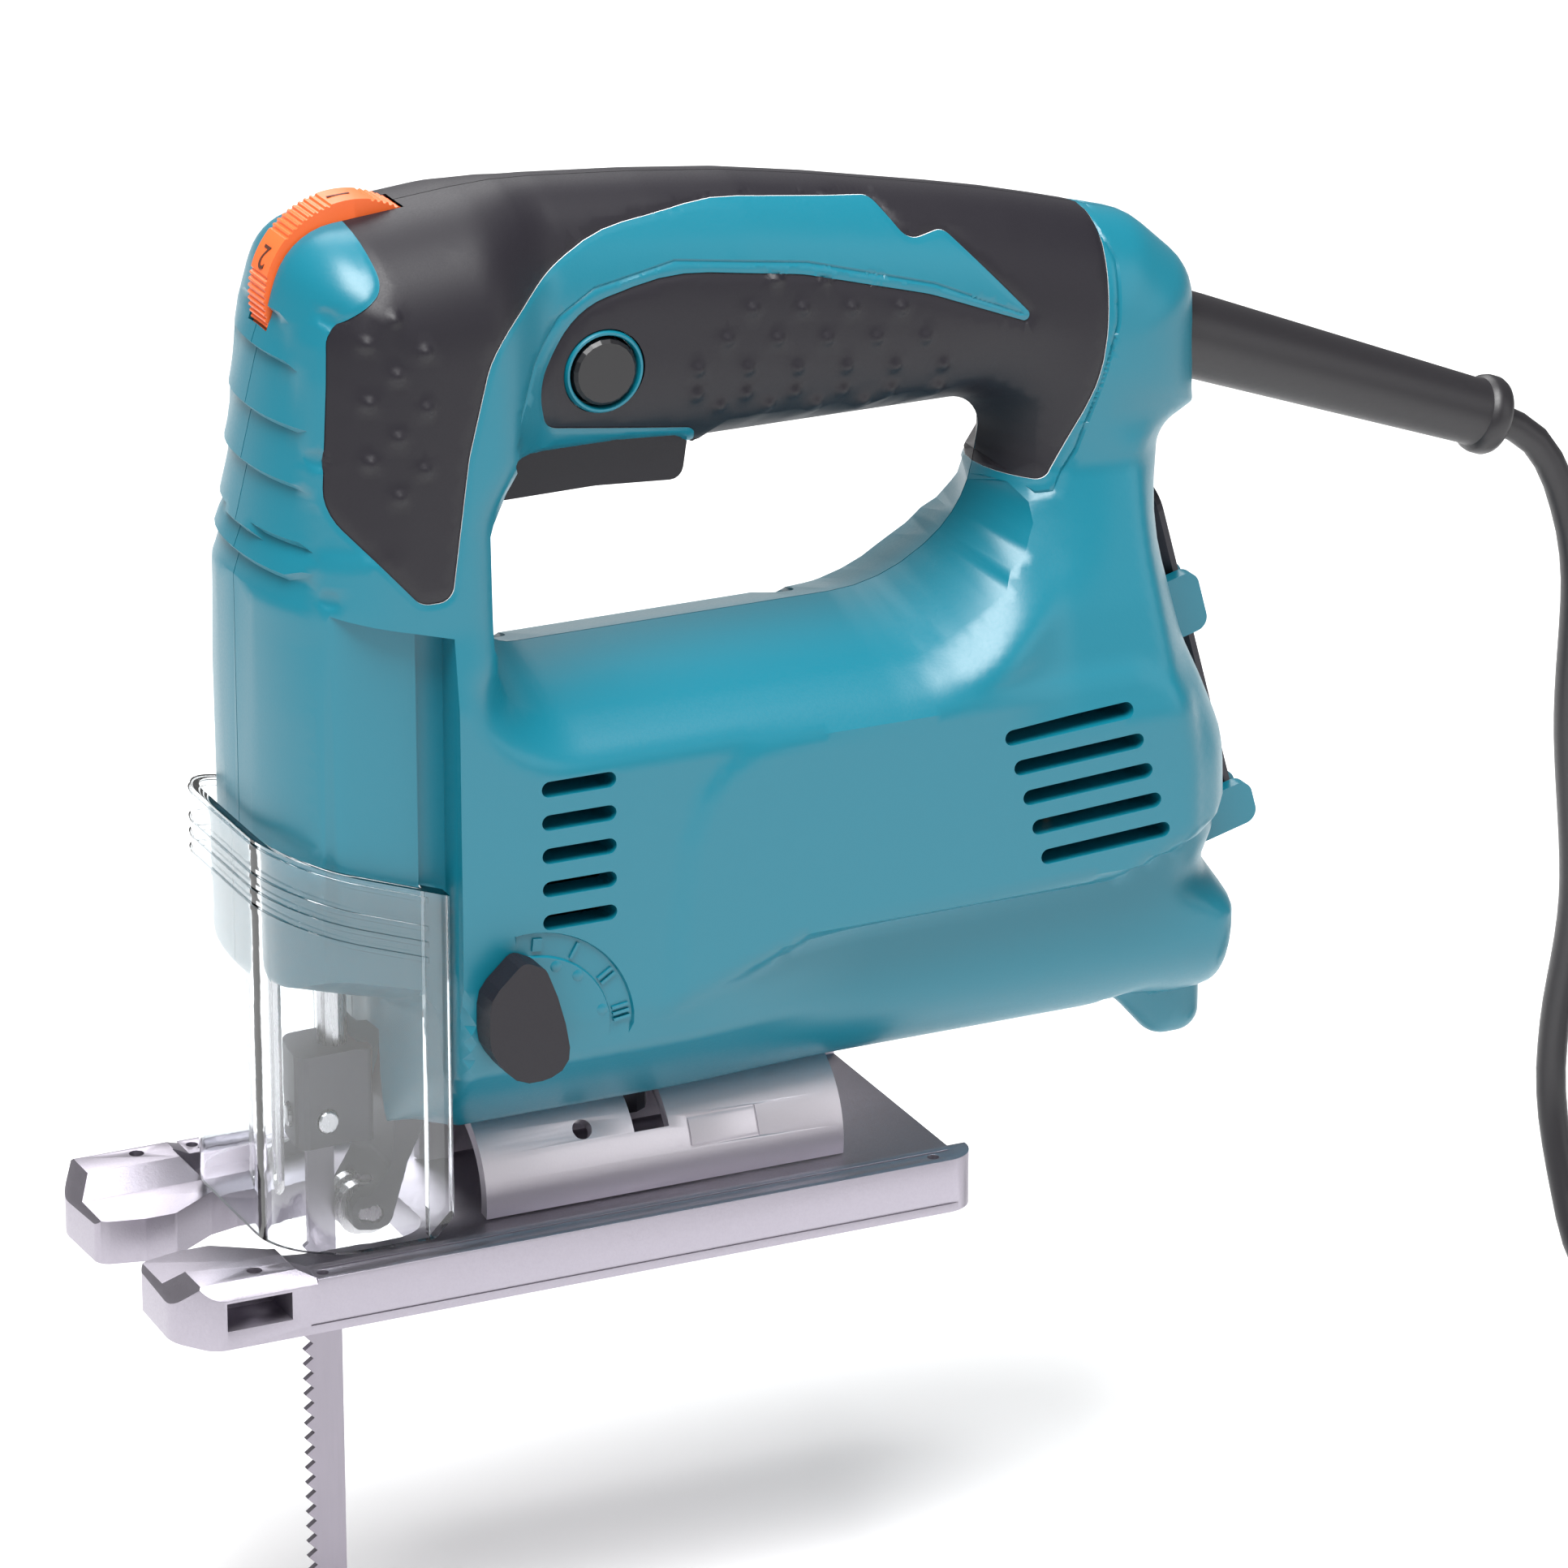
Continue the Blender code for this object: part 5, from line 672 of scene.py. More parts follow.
def switch_and_dial_rooms():
    """The rooms of the dial and of the switch, which the soft grips leave open too."""
    return [
        disc(17.5 * MM, (DIAL_X, -DIAL_HALF - 0.5 * MM, DIAL_Z), Y_AXIS, 2 * DIAL_HALF + 1 * MM),
        block((-8.5 * MM, 33 * MM), (-8.5 * MM, 8.5 * MM), (139 * MM, 162 * MM)),
    ]


def head_ways():
    """Counterbores for the screw heads, from the right."""
    return [disc(3.6 * MM, (x, 7.7 * MM, z), Y_AXIS, 40 * MM, sides=32) for x, z in SCREW_PLACES]


def shared_rooms():
    """Openings that run through both clamshells."""
    rooms = [
        disc(25.3 * MM, (-6.5 * MM, 0, MOTOR_Z), X_AXIS, 110.5 * MM),
        disc(9.8 * MM, (-14 * MM, 0, MOTOR_Z), X_AXIS, 8 * MM),
        *switch_and_dial_rooms(),
        disc(3.8 * MM, (-36 * MM, 0, 38 * MM), Z_AXIS, 126 * MM),
        disc(19.7 * MM, (-31.5 * MM, 0, GEAR_Z), X_AXIS, 16.3 * MM),
        block(
            (-41.5 * MM, -22 * MM), (-15.5 * MM, 15.5 * MM), (GEAR_Z - 16 * MM, GEAR_Z + 16 * MM)
        ),
        disc(6.8 * MM, (-36 * MM, 0, SHELF_Z), Z_AXIS, 12.6 * MM),
        disc(9.8 * MM, (105.7 * MM, 0, MOTOR_Z), X_AXIS, 6.6 * MM),
        disc(6.8 * MM, (-36 * MM, 0, 57 * MM), Z_AXIS, 12.6 * MM),
        block((-34 * MM, -15 * MM), (-6.5 * MM, 6.5 * MM), (22.5 * MM, 44.5 * MM)),
        disc(17.1 * MM, (CHAMBER_REAR_X - 5 * MM, 0, 10 * MM), X_AXIS, 95 * MM, sides=96),
        disc(6 * MM, (66 * MM, 0, 37.5 * MM), X_AXIS, 90 * MM),
        disc(9 * MM, (126 * MM, 0, 35.5 * MM), X_AXIS, 20 * MM),
        disc(8.2 * MM, GUARD_ORIGIN - GUARD_AXIS * 22 * MM, GUARD_AXIS, 30 * MM),
        disc(4.3 * MM, (LEVER_X, -36 * MM, LEVER_Z), Y_AXIS, 28 * MM),
        disc(1.8 * MM, (-21 * MM, -9 * MM, 37.5 * MM), Y_AXIS, 18 * MM, sides=16),
    ]
    rooms += [
        disc(1.4 * MM, (-50 * MM, y * MM, 53 * MM), Z_AXIS, 12 * MM, sides=16) for y in (-3, 3)
    ]
    return rooms


def vents(side):
    """Louvred slots through one side: five at the fan, five at the brushes."""
    low, high = sorted((side * 20 * MM, side * 36 * MM))
    cutters = []
    for k in range(5):
        z = MOTOR_Z + 23.2 * MM - 6.35 * MM * k
        cutters.append(prism(slot_outline((-7 * MM, z), (4.5 * MM, z), 1.5 * MM), low, high, "y"))
        z = MOTOR_Z + 18.6 * MM - 6.1 * MM * k
        x = 84.5 * MM + 1.9 * MM * k
        cutters.append(
            prism(slot_outline((x, z), (x + 23.5 * MM, z + 1.4 * MM), 1.5 * MM), low, high, "y")
        )
    return cutters


def column_room(side):
    """The room beside the column where the dust cover slides."""
    far_x, far_y = NOSE_X - 20 * MM, PAST_SIDE
    plan = rounded(
        [
            (NOSE_X, 0, 0),
            (NOSE_X, COLUMN_HALF, COLUMN_CORNER_R),
            (GROOVE_X[0], COLUMN_HALF, 0),
            (GROOVE_X[0], GROOVE_HALF, 0),
            (GROOVE_X[1], GROOVE_HALF, 0),
            (GROOVE_X[1], far_y, 0),
            (far_x, far_y, 0),
            (far_x, 0, 0),
        ],
        6,
    )
    low = [(x, side * (y - GAP), BODY_BOTTOM - 9 * MM) for x, y in plan]
    slope = [SHELF_Z + 8 * MM - (x - NOSE_X) * SHELF_SLOPE for x, _ in plan]
    return bridged(low, [(x, y, top) for (x, y, _), top in zip(low, slope)])


def wrench_keeper(side):
    """Half of the rear clip and foot cup that hold the wrench, open to the rear."""
    pieces = []
    for middle, length, back, front in (
        (WRENCH_FOOT + WRENCH_AXIS * 42 * MM, 12 * MM, -9 * MM, 3.2 * MM),
        (WRENCH_FOOT - WRENCH_AXIS * 1.6 * MM, 8.5 * MM, -14 * MM, 3.6 * MM),
    ):
        corners = []
        for along, across in ((-1, back), (-1, front), (1, front), (1, back)):
            point = middle + WRENCH_AXIS * along * length / 2 + WRENCH_NORMAL * across
            corners.append((point.x, point.z, 2.6 * MM if across == front else 0))
        low, high = sorted((side * SEAM, side * 5 * MM))
        pieces.append(prism(rounded(corners), low, high, "y"))
    return pieces


def wrench_way():
    """The slot behind the pillar that the wrench's shank lies in."""
    corners = []
    for along, across in ((-1, -3), (-1, 6), (70, 6), (70, -2.2)):
        point = WRENCH_FOOT + WRENCH_AXIS * along * MM + WRENCH_NORMAL * across * MM
        corners.append((point.x, point.z))
    return prism(corners, -2.2 * MM, 2.2 * MM, "y")


# Glass-filled nylon 6: satin, a little translucent at thin edges, with a VDI 27 spark-eroded grain of
# about 0.1 mm, drawn at 0.5 mm so that it shows.
teal_nylon, tree, shader = surface(
    "teal_glass_filled_nylon", "#076C7F", 0.36, IOR=1.53, Specular_IOR_Level=0.5
)
grain(tree, shader, 0.5, 0.012, rough=(0.28, 0.42))

for side, name in ((-1, "left"), (1, "right")):
    half = skin(f"clamshell_{name}", side, OUTSIDE + relief(PLAN_X, PLAN_Z), SEAM, teal_nylon)
    combine(half, wrench_keeper(side), "UNION")
    core = skin("core", side, half_width(PLAN_X, PLAN_Z, SKIN + GAP), 0.0, None)
    pocket = prism(GRIP_EDGE, *sorted((0.0, side * PAST_SIDE)), "y")
    combine(pocket, [core])
    combine(half, [pocket, wrench_way(), column_room(side)] + shared_rooms() + vents(side))
    if side < 0:
        combine(half, [disc(BUTTON_R + 0.5 * MM, (BUTTON_X, -30 * MM, BUTTON_Z), Y_AXIS, 25 * MM)])
    else:
        bores = [disc(2 * MM, (x, -1 * MM, z), Y_AXIS, 30 * MM, sides=24) for x, z in SCREW_PLACES]
        combine(half, head_ways() + bores)
    half.data.set_sharp_from_angle(angle=math.radians(32))
    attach(half, "housing")
    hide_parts(f"housing_{name}")

# ---- soft grips ---------------------------------------------------------------------------------
# Thermoplastic elastomer moulded over the handle and the front of the head, one skin on each side,
# sunk in a pocket so that it ends level with the nylon. Rows of low domes help the hand to hold.
elastomer, tree, shader = surface(
    "charcoal_elastomer", "#16131B", 0.5, IOR=1.5, Specular_IOR_Level=0.4
)
grain(tree, shader, 0.4, 0.01, rough=(0.42, 0.58))
for side, name in ((-1, "left"), (1, "right")):
    to_edge = distance_to(GRIP_EDGE, PLAN_X, PLAN_Z)
    width = OUTSIDE + 0.1 * MM - 0.75 * MM * (1 - np.clip(to_edge / (1.3 * MM), 0, 1)) ** 2
    for x, z in FRONT_DOMES + SIDE_DOMES:
        away = np.hypot(PLAN_X - x * MM, PLAN_Z - z * MM)
        width = width + 1.1 * MM * ease(1 - away / DOME_R)
    grip = skin(f"soft_grip_{name}", side, width, SEAM, elastomer)
    combine(grip, [prism(GRIP_EDGE, *sorted((0.0, side * PAST_SIDE)), "y")], "INTERSECT")
    combine(grip, [skin("back", side, half_width(PLAN_X, PLAN_Z, SKIN), 0.0, None)])
    ways = switch_and_dial_rooms()
    if side < 0:
        ways.append(disc(7.9 * MM, (BUTTON_X, -30 * MM, BUTTON_Z), Y_AXIS, 25 * MM))
    else:
        ways += head_ways()
    combine(grip, ways)
    grip.data.set_sharp_from_angle(angle=math.radians(40))
    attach(grip, "housing")
    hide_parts(f"grip_{name}")


# ---- trigger and lock-on button -----------------------------------------------------------------
# The trigger is the same charcoal elastomer over a nylon lever; the round black acetal button beside
# it keeps it pressed and sits in a teal ring of the housing.


def round_edges(obj, width, least_degrees=35, segments=2):
    """Breaks sharp edges, as moulding, casting or tumbling leaves them."""
    edge = obj.modifiers.new("edge_round", "BEVEL")
    edge.width = width
    edge.segments = segments
    edge.limit_method = "ANGLE"
    edge.angle_limit = math.radians(least_degrees)


def keep(names, made, round_mm=0.3, segments=2):
    """Shows CAD nodes as they are, with their edges rounded and their real finish."""
    for name in names.split():
        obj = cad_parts[name]
        obj.data.materials.clear()
        obj.data.materials.append(made)
        if round_mm:
            round_edges(obj, round_mm * MM, segments=segments)


keep("trigger", elastomer, 0.8, 3)
black_nylon, tree, shader = surface("black_moulded_nylon", "#141316", 0.35, IOR=1.53)
grain(tree, shader, 0.6, 0.006, rough=(0.3, 0.42))
keep("lock_button", black_nylon, 0.6, 3)
keep("switch_body", black_nylon, 0.3)
ring = turned(
    in_mm([(6.65, 3), (7.7, 3), (7.7, 0.2), (7.3, -0.5), (6.9, -0.5), (6.65, -0.1)]),
    (BUTTON_X, -side_at(BUTTON_X, BUTTON_Z), BUTTON_Z),
    Y_AXIS,
    teal_nylon,
    "button_ring",
)
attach(ring, "housing")

# ---- speed dial ---------------------------------------------------------------------------------
# An orange acetal thumbwheel that sticks out of the head's top corner, ribbed for the thumb between
# its printed numbers, on the white module that it turns.
NUMBER_STEP, FIRST_NUMBER = 60, 33  # degrees round the wheel
RIB_DEPTH = 0.35 * MM
INK_LIFT = 0.02 * MM
orange_acetal, tree, shader = surface("orange_acetal", "#E8672F", 0.38, IOR=1.48)
grain(tree, shader, 0.6, 0.004, rough=(0.32, 0.45))
outline = []
for k in range(360):
    in_step = k % NUMBER_STEP - NUMBER_STEP / 2
    ribbed = abs(in_step) > 11 and (k % 4) < 2
    r = DIAL_R - (RIB_DEPTH if ribbed else 0)
    outline.append((DIAL_X + r * math.cos(math.radians(k)), DIAL_Z + r * math.sin(math.radians(k))))
dial = prism(outline, -DIAL_HALF, DIAL_HALF, "y", orange_acetal, "speed_wheel")
hub = disc(2.5 * MM, (DIAL_X, -6.4 * MM, DIAL_Z), Y_AXIS, 11.2 * MM, orange_acetal)
combine(dial, [hub], "UNION")
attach(dial, "speed_dial")
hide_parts("speed_dial")
ink, tree, shader = surface("brown_pad_print", "#4A2415", 0.6)
grain(tree, shader, 0.3, 0.002)
for number in range(1, 7):
    letters = bpy.data.curves.new(f"number_{number}", "FONT")
    letters.body = str(number)
    letters.size = 6.2 * MM
    letters.extrude = 0.05 * MM
    letters.align_x = "CENTER"
    letters.align_y = "CENTER"
    outward = spoke(NUMBER_STEP * number + FIRST_NUMBER)
    along = Vector((-outward.z, 0, outward.x))
    basis = Matrix((-along, Vector(Y_AXIS), outward)).transposed()
    text = bpy.data.objects.new(f"number_{number}", letters)
    scene.collection.objects.link(text)
    place = Matrix.Translation(Vector((DIAL_X, 0, DIAL_Z)) + outward * (DIAL_R + INK_LIFT))
    text.matrix_world = place @ basis.to_4x4() @ Matrix.Rotation(math.radians(90), 4, "Z")
    letters.materials.append(ink)
    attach(text, "speed_dial")
white_nylon, tree, shader = surface("white_moulded_nylon", "#E6E4DE", 0.45, IOR=1.53)
grain(tree, shader, 0.6, 0.006)
keep("speed_module", white_nylon)

# ---- orbit lever --------------------------------------------------------------------------------
# A charcoal pointer knob on a steel shaft; it points at marks moulded in a recessed arc of the left
# clamshell, with three dots between them.
keep("orbit_lever", elastomer, 1.3, 4)
DOT_PROFILE = in_mm([(0, 1), (1.1, 1), (1.1, 0), (0.8, -0.18), (0, -0.2)])
for x, z in in_mm([(-6.1, 61.2), (-1.8, 58.7), (2.9, 51.3)]):
    dot = turned(DOT_PROFILE, (x, -side_at(x, z), z), Y_AXIS, teal_nylon, "lever_dot", 24)
    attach(dot, "housing")
MARK_R, STROKE_PITCH = 18.4 * MM, 1.2 * MM
for turn, strokes in ((84, 0), (60, 1), (33, 2), (8, 3)):
    radial = spoke(turn)
    middle = Vector((LEVER_X, 0, LEVER_Z)) + MARK_R * radial
    across = Vector((-radial.z, 0, radial.x))
    y = side_at(middle.x, middle.z) - ARC_DEPTH
    places = [(k - (strokes - 1) / 2) * STROKE_PITCH for k in range(strokes)]
    for place in places or [0]:
        centre = middle + across * place
        length, half = (1.2 * MM, 0.9 * MM) if strokes == 0 else (1.6 * MM, 0.28 * MM)
        corners = [
            centre + radial * a * length + across * b * half
            for a, b in ((-1, -1), (1, -1), (1, 1), (-1, 1))
        ]
        stroke = prism(
            [(c.x, c.z) for c in corners],
            -y - 0.4 * MM,
            -y + 0.6 * MM,
            "y",
            teal_nylon,
            "lever_mark",
        )
        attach(stroke, "housing")

# ---- dust cover ---------------------------------------------------------------------------------
# A clear polycarbonate shield, injection moulded with ribs near its top, that slides up round the
# column in two grooves. Its cut edges catch the light as bright lines.
clear, tree, shader = surface(
    "clear_polycarbonate", "#F4F8FA", 0.03, IOR=1.585, Transmission_Weight=1.0, Specular_IOR_Level=0.5
)
grain(tree, shader, 6.0, 0.02)
COVER_WALL = 2 * MM
COVER_TURN = 5  # degrees from point to point round its corners
COVER_FRONT = NOSE_X - 3.5 * MM
COVER_REAR = -25 * MM
COVER_HALF = COLUMN_HALF + 0.5 * MM + COVER_WALL


def both_sides(right):
    """Corners of the right side, then their mirror images in the blade's plane."""
    return right + [(x, -y, r) for x, y, r in reversed(right)]


def cover_plan(outer_grow, inner_grow):
    """The shield's wall seen from above, between two offsets of its outer face."""
    def face(grow):
        return [
            (COVER_FRONT + grow, COVER_HALF - grow, COLUMN_CORNER_R + 2 * MM - grow),
            (COVER_REAR, COVER_HALF - grow, 0),
        ]
    right = face(outer_grow) + face(inner_grow)[::-1]
    return rounded(both_sides(right), COVER_TURN)


def cover_plan_with_lips():
    """The whole wall, with the lips that run in the column's grooves."""
    lip, lip_front = GROOVE_HALF + 0.5 * MM, GROOVE_X[0] + 0.5 * MM
    outer = [
        (COVER_FRONT, COVER_HALF, COLUMN_CORNER_R + 2 * MM), (COVER_REAR, COVER_HALF, 0.8 * MM)
    ]
    inner_half = COVER_HALF - COVER_WALL
    right = outer + [
        (COVER_REAR, lip, 0.3 * MM), (lip_front, lip, 0), (lip_front, inner_half, 0.3 * MM)
    ]
    right.append((COVER_FRONT + COVER_WALL, inner_half, COLUMN_CORNER_R))
    return rounded(both_sides(right), COVER_TURN)


COVER_BOTTOM, COVER_TOP = 11 * MM, 95 * MM
shield = prism(cover_plan_with_lips(), COVER_BOTTOM, COVER_TOP, "z", clear, "dust_shield")
top = [
    (COVER_FRONT - 5 * MM, 90 * MM),
    (COVER_REAR + 5 * MM, 75 * MM),
    (COVER_REAR + 5 * MM, 110 * MM),
    (COVER_FRONT - 5 * MM, 110 * MM),
]
foot = [
    (-33 * MM, COVER_BOTTOM - 4 * MM),
    (-20 * MM, COVER_BOTTOM + 9 * MM),
    (-20 * MM, COVER_BOTTOM - 4 * MM),
]
shoulder = in_mm([(-30, 82), (-20, 82), (-20, 72)])
combine(shield, [prism(o, -40 * MM, 40 * MM, "y") for o in (top, foot, shoulder)])
slope = Vector((COVER_REAR - COVER_FRONT + 10 * MM, -15 * MM)).normalized()
for drop in (1.0, 6.5, 9.5, 12.5):
    rib = prism(cover_plan(-0.35 * MM, 0.2 * MM), 40 * MM, COVER_TOP, "z", clear)
    start = Vector((COVER_FRONT - 5 * MM, 90 * MM - drop * MM))
    end = start + slope * 60 * MM
    band = [
        (start.x, start.y), (end.x, end.y), (end.x, end.y - 1.0 * MM), (start.x, start.y - 1.0 * MM)
    ]
    combine(rib, [prism(band, -40 * MM, 40 * MM, "y")], "INTERSECT")
    combine(rib, [block((-29.5 * MM, 0), (-40 * MM, 40 * MM), (0, 120 * MM))])
    combine(shield, [rib], "UNION")
shield.data.set_sharp_from_angle(angle=math.radians(30))
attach(shield, "dust_cover")
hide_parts("dust_cover")

# ---- plunger, blade clamp and blade -------------------------------------------------------------
# Ground steel rod with a blackened steel blade holder; the blade is a rolled high-carbon strip with
# set teeth, its flanks brushed along its length.
ground_steel, tree, shader = surface("ground_steel", "#B9B6B8", 0.28, 1.0)
grain(tree, shader, 0.4, 0.002, (1, 1, 0.1), rough=(0.2, 0.36))
keep(
    "plunger_rod crosshead crank_pin gear_axle orbit_shaft motor_shaft pinion crank_gear",
    ground_steel,
    0.2,
)
keep(
    "front_bearing rear_bearing guide_roller roller_pin fork_pin bolt_nut wire_guard",
    ground_steel,
    0.2,
)
keep("clamp_screw_front clamp_screw_side", ground_steel, 0.2)
gunmetal, tree, shader = surface("blackened_steel", "#3B3A40", 0.42, 0.85)
grain(tree, shader, 0.5, 0.008, rough=(0.34, 0.52))
keep("blade_clamp roller_fork bevel_bolt", gunmetal, 0.5)
blade_steel, tree, shader = surface("brushed_blade_steel", "#8F8A93", 0.34, 1.0)
grain(tree, shader, 0.5, 0.003, (1, 1, 0.05), rough=(0.24, 0.46))
keep("saw_blade", blade_steel, 0)

# ---- shoe ---------------------------------------------------------------------------------------
# The sole is die-cast aluminium, its two tines split round the blade and windowed for a fence bar.
# Tumbling after casting leaves a sparkling, slightly rough grey with softened corners.
cast_aluminium, tree, shader = surface("tumbled_cast_aluminium", "#A39EA8", 0.4, 1.0)
grain(tree, shader, 0.45, 0.02, rough=(0.28, 0.55))
TINE_TOP, PLATE_TOP, FLANGE_TOP, TINE_REAR_X = 12 * MM, 7 * MM, 10.5 * MM, -58 * MM
SHOE_HALF = 34.5 * MM
half_plan = in_mm(
    [
        (77.3, 34.5, 6),
        (-74.5, 34.5, 5),
        (-80, 27, 8),
        (-79.5, 10, 3),
        (-71, 8, 1.5),
        (-65, 8, 1.5),
        (-56, 14, 1.5),
        (-50, 15.5, 3),
        (-24, 15.5, 8),
    ]
)
sole = prism(rounded(both_sides(half_plan), 8), 0, TINE_TOP, "z", cast_aluminium, "sole")
wide, tall = 100 * MM, 40 * MM
tray_half = SHOE_HALF - 6.5 * MM
ramp = [
    (TINE_REAR_X, TINE_TOP + 0.2 * MM),
    (TINE_REAR_X + 4.5 * MM, PLATE_TOP),
    (wide, PLATE_TOP),
    (wide, tall),
    (TINE_REAR_X, tall),
]
cuts = [
    prism(ramp, -tray_half, tray_half, "y"),
    prism(
        [
            (TINE_REAR_X, TINE_TOP + 0.2 * MM),
            (TINE_REAR_X + 3.5 * MM, FLANGE_TOP),
            (wide, FLANGE_TOP),
            (wide, tall),
            (TINE_REAR_X, tall),
        ],
        -wide,
        wide,
        "y",
    ),
    disc(8 * MM, (20 * MM, 0, -1 * MM), Z_AXIS, tall),
    prism(in_mm([(-90, -2), (-78.6, -2), (-81.5, 2.2), (-90, 2.2)]), -wide, wide, "y"),
    prism(in_mm([(-90, 5), (-80.6, 6.2), (-75.5, 12.5), (-90, 12.5)]), -wide, wide, "y"),
]
for side in (-1, 1):
    low, high = sorted((side * 25 * MM, side * 60 * MM))
    cuts.append(prism(in_mm([(-72, 3.6), (-59.5, 3.6), (-59.5, 9), (-72, 9)]), low, high, "y"))
    shelf = [
        (side * 4 * MM, 8.5 * MM),
        (side * 20 * MM, 8.5 * MM),
        (side * 25.5 * MM, TINE_TOP + 1 * MM),
        (side * 25.5 * MM, tall),
        (side * 4 * MM, tall),
    ]
    cuts.append(prism(shelf, -wide, TINE_REAR_X + 6 * MM, "x"))
    flank = [
        (side * 31.4 * MM, TINE_TOP + 0.2 * MM),
        (side * 34.7 * MM, 9.4 * MM),
        (side * 40 * MM, 9.4 * MM),
        (side * 40 * MM, tall),
        (side * 31.4 * MM, tall),
    ]
    cuts.append(prism(flank, -wide, TINE_REAR_X + 3.5 * MM, "x"))
    low, high = sorted((side * 34.2 * MM, side * 40 * MM))
    cuts.append(block((-56 * MM, 90 * MM), (low, high), (1.7 * MM, 2.1 * MM)))
    low, high = sorted((side * 29.8 * MM, side * 30.3 * MM))
    cuts.append(block((-52 * MM, 73 * MM), (low, high), (10.15 * MM, 12 * MM)))
    for x, y, r in ((-64.5, 29, 1.4), (-52.5, 31.8, 1.1), (69, 31.8, 1.1)):
        cuts.append(disc(r * MM, (x * MM, side * y * MM, 7.5 * MM), Z_AXIS, 10 * MM, sides=24))
combine(sole, cuts, solver="EXACT")
round_edges(sole, 0.45 * MM, 25)
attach(sole, "shoe")
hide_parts("shoe")

# ---- bevel support ------------------------------------------------------------------------------
# Half-round die-cast saddle, blasted to a pale grey, on which the shoe tilts under its clamping bolt.
blasted, tree, shader = surface("blasted_cast_aluminium", "#E4DFE6", 0.45, 1.0)
grain(tree, shader, 0.4, 0.012, rough=(0.38, 0.58))
AXIS_Z, SADDLE_R, SADDLE_WALL = 10 * MM, 16.6 * MM, 2.5 * MM


def arc_band(outer, inner, first, last, steps):
    turns = [math.radians(first + (last - first) * k / steps) for k in range(steps + 1)]
    points = [(outer * math.cos(a), AXIS_Z + outer * math.sin(a)) for a in turns]
    return points + [(inner * math.cos(a), AXIS_Z + inner * math.sin(a)) for a in turns[::-1]]


saddle = prism(
    arc_band(SADDLE_R, SADDLE_R - SADDLE_WALL, -9.3, 189.3, 60),
    -14 * MM,
    58 * MM,
    "x",
    blasted,
    "saddle",
)
under = block((-20 * MM, 70 * MM), (-30 * MM, 30 * MM), (0, 7.3 * MM))
slot_cut = prism(
    arc_band(SADDLE_R + 4 * MM, SADDLE_R - 6.5 * MM, 30, 150, 30), 16.5 * MM, 23.5 * MM, "x"
)
turn = math.radians(180 - 38)
out = Vector((0, math.cos(turn), math.sin(turn)))
hole = disc(1.9 * MM, Vector((6.6 * MM, 0, AXIS_Z)) + out * 10 * MM, out, 12 * MM)
frame_lines = []
for a, b in ((146, 147.5), (165, 166.5)):
    frame_lines.append(
        prism(arc_band(SADDLE_R + 1 * MM, SADDLE_R - 0.25 * MM, a, b, 2), 27 * MM, 41 * MM, "x")
    )
for x in (27, 40.6):
    frame_lines.append(
        prism(
            arc_band(SADDLE_R + 1 * MM, SADDLE_R - 0.25 * MM, 146, 166.5, 10),
            x * MM,
            (x + 0.4) * MM,
            "x",
        )
    )
combine(saddle, [under, slot_cut, hole])
for line in frame_lines:
    combine(saddle, [line])
round_edges(saddle, 0.25 * MM, 40)
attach(saddle, "shoe")
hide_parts("bevel_support")

# ---- wrench and screws --------------------------------------------------------------------------
# A bent hexagonal key and thread-forming screws, all of steel blackened in hot oil.
keep("hex_wrench", gunmetal, 0)
SCREW_PROFILE = in_mm(
    [(0, 0), (1.7, 0), (1.7, 17), (3.1, 17), (3.3, 17.3), (3.3, 18.6), (2.4, 19.4), (0, 19.6)]
)
for number, (x, z) in enumerate(SCREW_PLACES, 1):
    head = turned(
        SCREW_PROFILE, (x, -9 * MM, z), Y_AXIS, gunmetal, f"screw_{number}", 32,
    )
    star = []
    for k in range(12):
        r = (1.55 if k % 2 == 0 else 1.05) * MM
        star.append((x + r * math.cos(math.pi * k / 6), z + r * math.sin(math.pi * k / 6)))
    combine(head, [prism(star, 9 * MM, 12 * MM, "y")])
    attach(head, "housing")
    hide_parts(f"housing_screw_{number}")

# ---- motor --------------------------------------------------------------------------------------
# Series motor behind the vents: stacked steel sheets, enamelled copper windings, a copper
# commutator under carbon brushes and a moulded fan, all on one shaft.
stack, tree, shader = surface("varnished_sheet_steel", "#3A3436", 0.5, 0.7)
grain(tree, shader, 1.0, 0.02, (2, 0.2, 0.2))
keep("stator_core armature_core", stack, 0.2)
enamel, tree, shader = surface("enamelled_copper_wire", "#9C4A22", 0.35, 1.0)
grain(tree, shader, 0.7, 0.08, (1, 0.2, 0.2))
keep("field_coil_front field_coil_rear commutator", enamel, 0.6)
brass, tree, shader = surface("drawn_brass", "#B48E45", 0.35, 1.0)
grain(tree, shader, 0.8, 0.004)
keep("brush_holder_left brush_holder_right upper_bushing lower_bushing", brass, 0.2)
carbon, tree, shader = surface("pressed_carbon", "#232323", 0.7)
grain(tree, shader, 0.5, 0.02)
keep("brush_left brush_right", carbon, 0.2)
keep("cooling_fan", black_nylon, 0.3)

